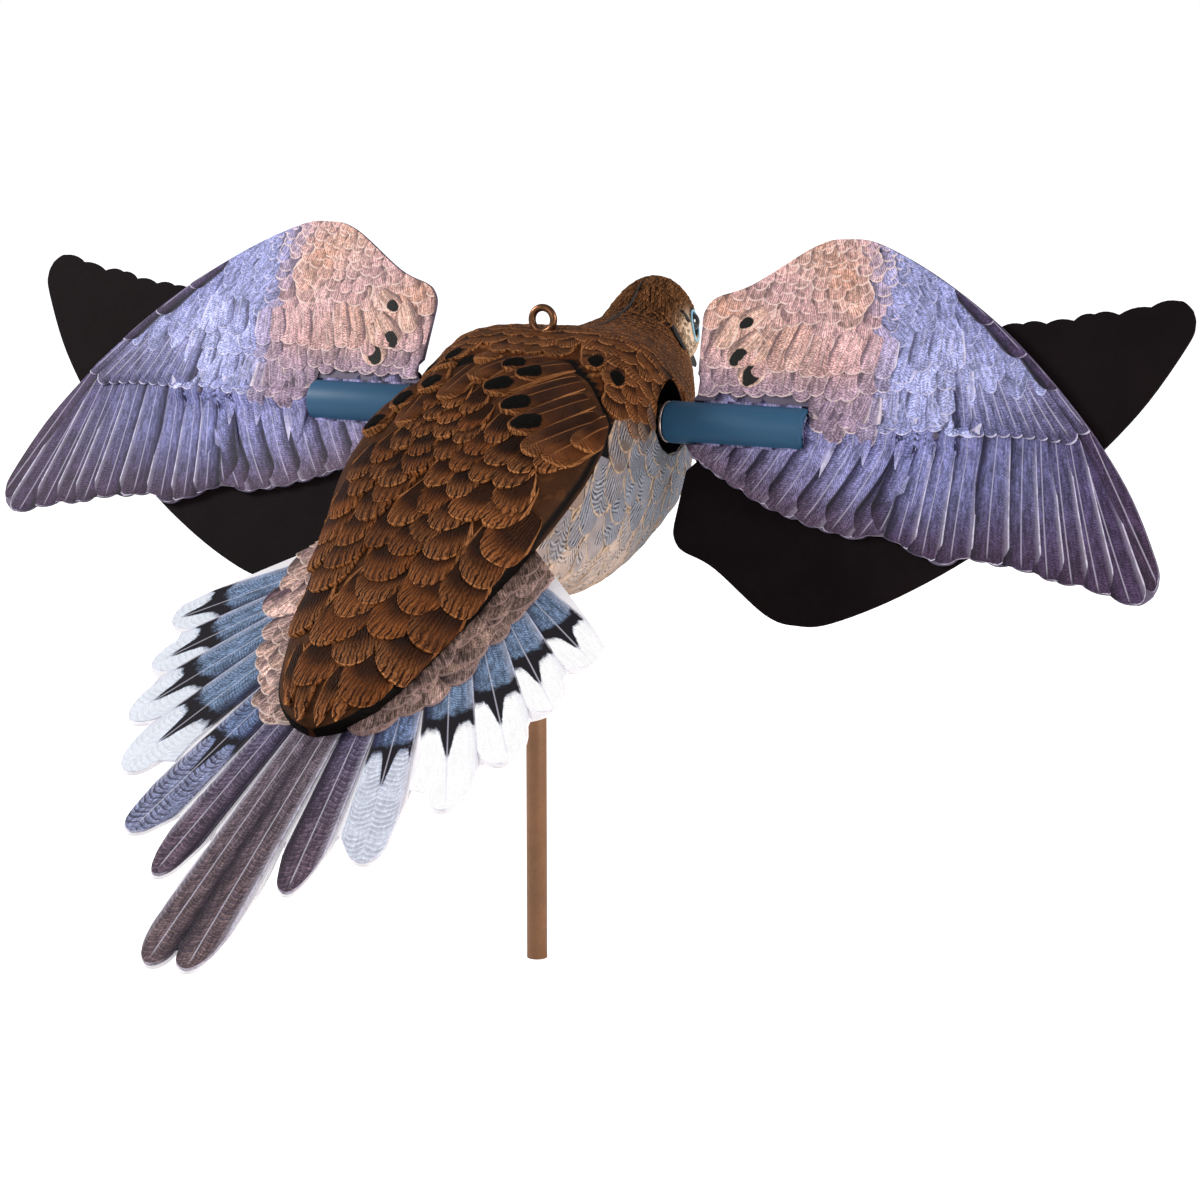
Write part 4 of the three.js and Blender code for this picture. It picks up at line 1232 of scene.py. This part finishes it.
PEACH_INK, PEACH_DEEP, ROSE = paint(204, 164, 150), paint(188, 136, 112), paint(196, 158, 166)
LILAC, LILAC_DEEP, LILAC_PALE = paint(122, 126, 178), paint(72, 60, 100), paint(166, 170, 218)
PURPLE_BROWN, MAUVE, QUILL_WHITE = paint(58, 40, 64), paint(150, 128, 150), paint(222, 216, 240)
TERTIAL_TRIM, BLOT_TRIM = paint(232, 210, 208), paint(238, 212, 200)
SCALE_TRIM, SCALE_TRIM_OUTER = paint(240, 214, 206), paint(196, 196, 234)
# The half tube in a blade: its radius, middle and length, and the print's rise and reach over it
TUBE_RADIUS, TUBE_MIDDLE, TUBE_LONG, TUBE_ROOF = 4.2, 137.5, 63.5, 4.7
# Primaries: tip across and height, lean, length, width
PRIMARIES = [(237.5, -55, 0.45, 92, 14), (225.5, -52, 0.35, 80, 13.5), (215.3, -50.3, 0.28, 72, 13.5),
             (205.8, -48.4, 0.22, 64, 13.5), (195.6, -45.8, 0.16, 60, 15), (182.2, -43.6, 0.09, 56, 16.5),
             (168.6, -44.5, 0.02, 52, 16), (157.5, -43.5, -0.04, 50, 14), (147.5, -40, -0.1, 46, 13)]
THUMB = [(200, 20, 0.8, 40, 9.5), (186, 31.5, 0.86, 38, 9.5), (172, 43, 0.9, 30, 8)]
# Tips of the secondaries, across and height
SECONDARIES = [(139, -37), (131, -38.8), (120, -36.8), (108.5, -34.2), (96.5, -30.6), (86, -26.2),
               (77.2, -21.6), (69.2, -17), (62.2, -12.5)]
# Blotted coverts: place across and height, size, lean, spot
BLOTS = [(71.7, 39.4, 7.0, 0.9, 1.0), (69.9, 25.6, 9.5, 0.7, 1.0), (76.4, 18.4, 10.5, 0.5, 1.0),
         (64.5, 31, 8, 0.4, 0.0)]


def blade_lay(side, turn=1, face=BLADE_FACE):
    """Where places on a wing sheet lie; the dark sheets are turned half round the shaft."""
    c, s = math.cos(BLADE_TILT), math.sin(BLADE_TILT)

    def lay(along, out, above):
        y, up = face + above, turn * along
        return np.stack([side * out, y * c - up * s, y * s + up * c], -1)
    return lay


def wing_tint(x, s):
    """The print's broad colours: peach by the body, mauve over the shaft, blue-lilac outside."""
    outer = float(ramp(x + 0.12 * (s - 20), 122, 140))
    inner = mixed(PEACH_INK, PEACH_DEEP, 0.4 + 0.4 * math.sin(x * 0.21) * math.cos(s * 0.17))
    inner = mixed(inner, ROSE, 0.4 + 0.3 * math.sin(x * 0.09 + s * 0.13))
    inner = mixed(inner, MAUVE, float(ramp(-s, -26, -6)))
    pale = 0.35 + 0.5 * float(ramp(-s, -40, -12)) + 0.25 * math.sin(x * 0.12 + s * 0.07)
    return mixed(inner, mixed(LILAC, LILAC_PALE, pale), outer)


def inside_blade(x, s, outline):
    p = np.array([[x, s]], float)
    return bool(np.allclose(kept_inside(p, outline), p))


def wing_quills(name, sheet, rand):
    """The long flight feathers, and the narrow coverts over their roots."""
    quills = Feathers(12, 24, sheet, spread=0.8, lie=0.03, droop=0.15, trim=QUILL_WHITE, kind=1.0, sink=0.2)
    for k, (x, s, lean, long, wide) in reversed(list(enumerate(PRIMARIES))):
        outer = (len(PRIMARIES) - k) / len(PRIMARIES)
        light = rand.uniform(0.85, 1.12) * (1 - 0.2 * outer)
        quills.add(s - 2.2, x, turn=math.pi - lean, long=long, wide=wide, tip=0.09, proud=0.26 + 0.03 * k,
                   tint=dimmed(mixed(LILAC, LILAC_DEEP, 0.1 + 0.9 * outer ** 1.5), light),
                   end=mixed(PURPLE_BROWN, LILAC_DEEP, rand.uniform(0, 0.25)), bow=-2.0)
    quills.add(-49.5, 246.5, turn=math.pi - 0.55, long=118, wide=13, tip=0.1, proud=0.22, droop=0.35,
               tint=mixed(LILAC_DEEP, PURPLE_BROWN, 0.4), end=PURPLE_BROWN)
    for k, (x, s) in reversed(list(enumerate(SECONDARIES))):
        light = rand.uniform(0.88, 1.12)
        quills.add(s - 1.6, x, turn=math.pi + (0.62 if k else 0.4), long=52 - 3.2 * k, wide=17 - 0.3 * k,
                   tip=0.18, root=0.9, proud=0.3 + 0.03 * k, bow=9.5 - 0.7 * k,
                   tint=dimmed(mixed(LILAC, MAUVE, 0.05 * k), light),
                   end=mixed(PURPLE_BROWN, MAUVE, 0.05 * k))
    for k in range(10):
        t = k / 9
        x, s = 168 + 45 * t, 0.5 + 1.2 * math.sin(t * 3.1) + (4.5 if k == 9 else 0)
        light = rand.uniform(0.85, 1.2)
        quills.add(s, x, turn=math.pi - 0.3 - 0.5 * t, long=56 - 12 * t, wide=8.8, tip=0.14, root=0.35,
                   spread=0.6, proud=0.5 + 0.03 * k, lie=0.3, droop=0.25, sink=0.1, bow=-2,
                   tint=dimmed(mixed(LILAC_PALE, LILAC_DEEP, 0.1 + 0.65 * t), light),
                   end=mixed(LILAC, PURPLE_BROWN, 0.3 + 0.5 * t))
    for x, s, lean, long, wide in THUMB:
        quills.add(s, x, turn=math.pi - lean, long=long, wide=wide, tip=0.2, root=0.4, spread=0.6, proud=0.8,
                   lie=0.55, droop=0.3, sink=0.1, tint=mixed(LILAC_DEEP, PURPLE_BROWN, 0.2),
                   end=mixed(LILAC_DEEP, PURPLE_BROWN, 0.55))
    quills.build(f"wing_quills_{name}", wing_ink, 50, "wings")


def wing_tertials(name, sheet, rand):
    """Long tertials and secondary coverts down over the shaft."""
    tertials = Feathers(8, 22, sheet, tip=0.26, root=0.6, droop=0.3, kind=1.0, sink=0.1)
    for row, (low, long) in enumerate(((-4.5, 24), (3.5, 24), (12, 22), (20, 20))):
        x = 61.5 + 3 * (row % 2)
        while x < 170 - 3 * row:
            outer = float(ramp(x, 130, 165))
            s = low + rand.uniform(-3.5, 3.5) + 4 * outer
            if x < 108:
                s = max(s, 9.0 + rand.uniform(0, 3))
            if not (x < 108 and row == 0):
                light = rand.uniform(0.8, 1.2)
                tertials.add(s, x, turn=math.pi + 0.12 + rand.uniform(-0.16, 0.16) - 0.35 * outer,
                             long=long * rand.uniform(0.9, 1.15), wide=rand.uniform(8.6, 10.4),
                             proud=0.4 + 0.12 * row, lie=0.2 + 0.15 * row,
                             tint=dimmed(wing_tint(x, s + 8), light), end=dimmed(wing_tint(x, s), light),
                             trim=mixed(TERTIAL_TRIM, QUILL_WHITE, ramp(x, 120, 140)))
            x += rand.uniform(5.6, 7.2)
    tertials.build(f"wing_tertials_{name}", tertial_ink, 50, "wings")


def wing_coverts(name, sheet, rand, outline):
    """Rows of scallops from the leading edge down, and four with black blots by the body."""
    scales = Feathers(10, 4, sheet, tip=0.45, root=0.55, proud=0.36, lie=0.6, sink=0.05)
    s, row = 17.0, 0
    while s < 78:
        size = between(s, [17, 40, 62, 78], [9.8, 8.6, 5.4, 4.0])
        x = 57 + size * 0.45 * (row % 2)
        while x < 200:
            px, ps = x + rand.uniform(-1, 1), s + rand.uniform(-1.2, 1.2) + 1.2 * math.sin(x * 0.13)
            if inside_blade(px, ps - 0.4, outline) or inside_blade(px, ps + size * 0.5, outline):
                outer = float(ramp(px, 128, 142))
                tint = dimmed(wing_tint(px, ps), rand.uniform(0.82, 1.16))
                way = 0.25 * math.sin(px * 0.07 + ps * 0.05) - 0.62 * outer + rand.uniform(-0.3, 0.3)
                big = size * rand.uniform(0.85, 1.3)
                scales.add(ps, px, turn=math.pi + way, long=big * (1.35 + 2.0 * outer),
                           wide=big * (1.1 - 0.2 * outer), tint=tint,
                           trim=mixed(SCALE_TRIM, SCALE_TRIM_OUTER, outer), kind=outer)
            x += size * rand.uniform(0.8, 0.98)
        s += size * 0.56
        row += 1
    for x, s, size, lean, spot in BLOTS:
        scales.add(s - size * 0.35, x + 1.5, turn=math.pi + lean, long=size * 1.7, wide=size * 1.1, tip=0.4,
                   root=0.5, proud=0.5, lie=0.95, tint=PEACH_INK, trim=BLOT_TRIM, spot=spot)
    scales.build(f"wing_coverts_{name}", covert_ink, 50, "wings")


def wing_print(side, name, outline):
    flat = blade_lay(side)

    def over_tunnel(along, out, above):
        """The print follows the sheet, and the pressed half tube over the shaft."""
        roof = np.sqrt(np.clip(TUBE_ROOF ** 2 - along ** 2, 0, None)) - BLADE_FACE
        rise = np.maximum(roof * (ramp(out, 103.0, 104.0) * ramp(-out, -173.5, -169)), 0)
        return flat(along, out, above * (1 - 0.45 * (rise > 0.05)) + rise)
    sheet, rand = Sheet(over_tunnel, grown(outline, -0.3)), random.Random(23)
    wing_quills(name, sheet, rand)
    wing_tertials(name, sheet, rand)
    wing_coverts(name, sheet, rand, outline)


def tube_over_shaft(sheet, side, face):
    """The half tube pressed in a blade, over the shaft, closed by a rounded end, and its rivet."""
    tube = rod(TUBE_RADIUS, TUBE_LONG, [side * TUBE_MIDDLE, 0, 0], 48, 2.6, 5)
    normal = np.array([0, face * math.cos(BLADE_TILT), face * math.sin(BLADE_TILT)])
    bpy.ops.object.mode_set(mode="EDIT")
    bpy.ops.mesh.select_all(action="SELECT")
    bpy.ops.mesh.bisect(plane_co=tuple(in_row(normal * 0.6)), plane_no=tuple(normal), use_fill=True,
                        clear_inner=True)
    bpy.ops.object.mode_set(mode="OBJECT")
    bpy.ops.mesh.primitive_uv_sphere_add(segments=20, ring_count=12, radius=0.0015,
                                         location=in_row(normal * 3.9 + (side * 157, 0, 0)))
    joined(sheet, settled(), tube)


def blade(side, name, outline, kind, turn, face, material):
    o = flat_sheet(f"{kind}_blade_{name}", outline, blade_lay(side, turn, face), SHEET_THICK)
    tube_over_shaft(o, side, turn)
    finish_piece(o, f"{kind}_blade_sheet_{name}", material, [f"{kind}_blade_{name}"], 30, "wings")


def blades():
    outline = blade_outline()
    for side, name in SIDES:
        blade(side, name, outline, "printed", 1, BLADE_FACE, wing_ground)
        wing_print(side, name, outline)
        blade(side, name, outline, "dark", -1, DARK_FACE, dark_sheet)


# ---------------------------------------------------------------- ring, pole, shaft, hubs and sleeves
# Sections, as radius and distance from the middle
HUB = [(2.8, 42), (5.8, 42), (6.2, 42.4), (6.2, 48.2), (7.54, 48.2), (7.74, 48.4), (7.74, 49.0), (7.54, 49.2),
       (2.8, 49.2)]
SLEEVE = [(2.8, 49.5), (7.1, 49.5), (7.65, 49.75), (7.94, 50.4), (7.94, 104.3), (7.65, 105.15), (7.1, 105.4),
          (6.2, 105.4), (5.6, 104.8), (5.0, 105.4), (2.8, 105.4)]
SHAFT_RADIUS, SHAFT_LONG, POLE_RADIUS, POLE_LONG, RING_Y = 2.5, 324, 3.97, 167, 7.7


def turned(name, profile, side, material, node, smooth=30):
    """A ring shape turned about the shaft from its section."""
    bpy.ops.mesh.primitive_circle_add(vertices=len(profile), radius=0.01)
    o = bpy.context.object
    for v, (r, x) in zip(o.data.vertices, profile):
        v.co = Vector(in_row([side * x, 0, r]))
    bpy.ops.object.mode_set(mode="EDIT")
    bpy.ops.mesh.select_all(action="SELECT")
    bpy.ops.mesh.spin(steps=64, angle=2 * math.pi, center=tuple(in_row([0, 0, 0])), axis=(1, 0, 0))
    bpy.ops.mesh.select_all(action="SELECT")
    bpy.ops.mesh.remove_doubles(threshold=1e-6)
    bpy.ops.object.mode_set(mode="OBJECT")
    finish_piece(face_outward(o), name, material, [node], smooth, "wings")


def hardware():
    o = rod(SHAFT_RADIUS, SHAFT_LONG, [0, 0, 0], 48, 0.4)
    finish_piece(o, "wing_shaft_rod", steel, ["wing_shaft"], 30, "wings")
    for side, name in SIDES:
        turned(f"hub_{name}", HUB, side, steel, f"wing_hub_{name}")
        turned(f"sleeve_{name}", SLEEVE, side, rubber, f"wing_sleeve_{name}", 40)
    bpy.ops.mesh.primitive_torus_add(major_radius=0.00455, minor_radius=0.0014, major_segments=64,
                                     minor_segments=24, location=in_row([0, RING_Y, 36.7]),
                                     rotation=(math.pi / 2, 0, 0))
    ring = bpy.context.object
    flange = rod(5.35, 1.4, [0, RING_Y, 30.4], 48, 0.4, turn=UPRIGHT)
    shank = rod(1.5, 10.6, [0, RING_Y, 25.7], 32, turn=UPRIGHT)
    finish_piece(joined(ring, flange, shank), "hanging_ring_loop", bronze, ["hanging_ring"])
    o = rod(POLE_RADIUS, POLE_LONG, (0, 0, POLE_LONG / 2) - SHAFT, bevel=0.25, turn=UPRIGHT)
    finish_piece(o, "pole_rod", pole_paint, ["pole"], 30)


trunk()
folded_wings()
back_feathers()
mantle_feathers()
head_ridges()
flank_feathers()
head_details()
tail()
blades()
hardware()


# ---------------------------------------------------------------- floor, light and camera
SKY, FLOOR_GLOW = 0.34, 0.9
# name, place, size, power, colour
LIGHTS = [("left", (1.15, 0.5, 0.8), 0.4, 15, (1, 0.985, 0.96)),
          ("right", (-1.15, -0.05, 0.5), 0.5, 10, (1, 0.97, 0.93)),
          ("front", (0.1, 1.4, 0.6), 0.7, 4.5, (0.97, 0.98, 1)),
          ("under", (-0.5, 0.2, 0.03), 0.35, 0.9, (1, 0.86, 0.72))]
CAMERA_PLACE, CAMERA_LOOK, CAMERA_LENS = (-0.5854, 1.0953, 0.3640), (0.4468, -0.8769, -0.1771), 99.6


def stand(name, data, place, look):
    """Put a light or camera in place, looking along a direction."""
    o = bpy.data.objects.new(name, data)
    bpy.context.scene.collection.objects.link(o)
    o.location, o.rotation_euler = place, look.to_track_quat("-Z", "Y").to_euler()
    return o


def studio():
    """A white floor and sky as the camera sees them, grey to the decoy, and four soft lights."""
    scene = bpy.context.scene
    bpy.ops.mesh.primitive_plane_add(size=8, location=(0, 0, 0))
    floor = bpy.context.object
    floor.name = "floor"
    m, w, shader, _ = start_material("white_floor", Roughness=0.9, Base_Color=(0.8, 0.8, 0.8))
    seen = w.out(w.node("ShaderNodeLightPath"), "Is Camera Ray")
    w.feed(shader, Emission_Color=(1, 1, 1), Emission_Strength=seen * FLOOR_GLOW)
    floor.data.materials.append(m)
    world = scene.world = bpy.data.worlds.new("studio")
    world.use_nodes = True
    w = Wiring(world.node_tree)
    seen = w.out(w.node("ShaderNodeLightPath"), "Is Camera Ray")
    w.feed(world.node_tree.nodes["Background"].inputs, Color=(1, 1, 1),
           Strength=w.maths("MULTIPLY_ADD", seen, 1 - SKY, SKY))
    for name, place, size, power, colour in LIGHTS:
        data = bpy.data.lights.new(name, "AREA")
        data.size, data.energy, data.color = size, power, colour
        stand(name, data, place, Vector((0, 0, 0.2)) - Vector(place))
    data = bpy.data.cameras.new("camera")
    data.lens, data.sensor_width, data.sensor_fit = CAMERA_LENS, 36.0, "HORIZONTAL"
    data.clip_start, data.clip_end = 0.05, 30
    scene.camera = stand("camera", data, CAMERA_PLACE, Vector(CAMERA_LOOK))
    scene.view_settings.view_transform = "Standard"


studio()
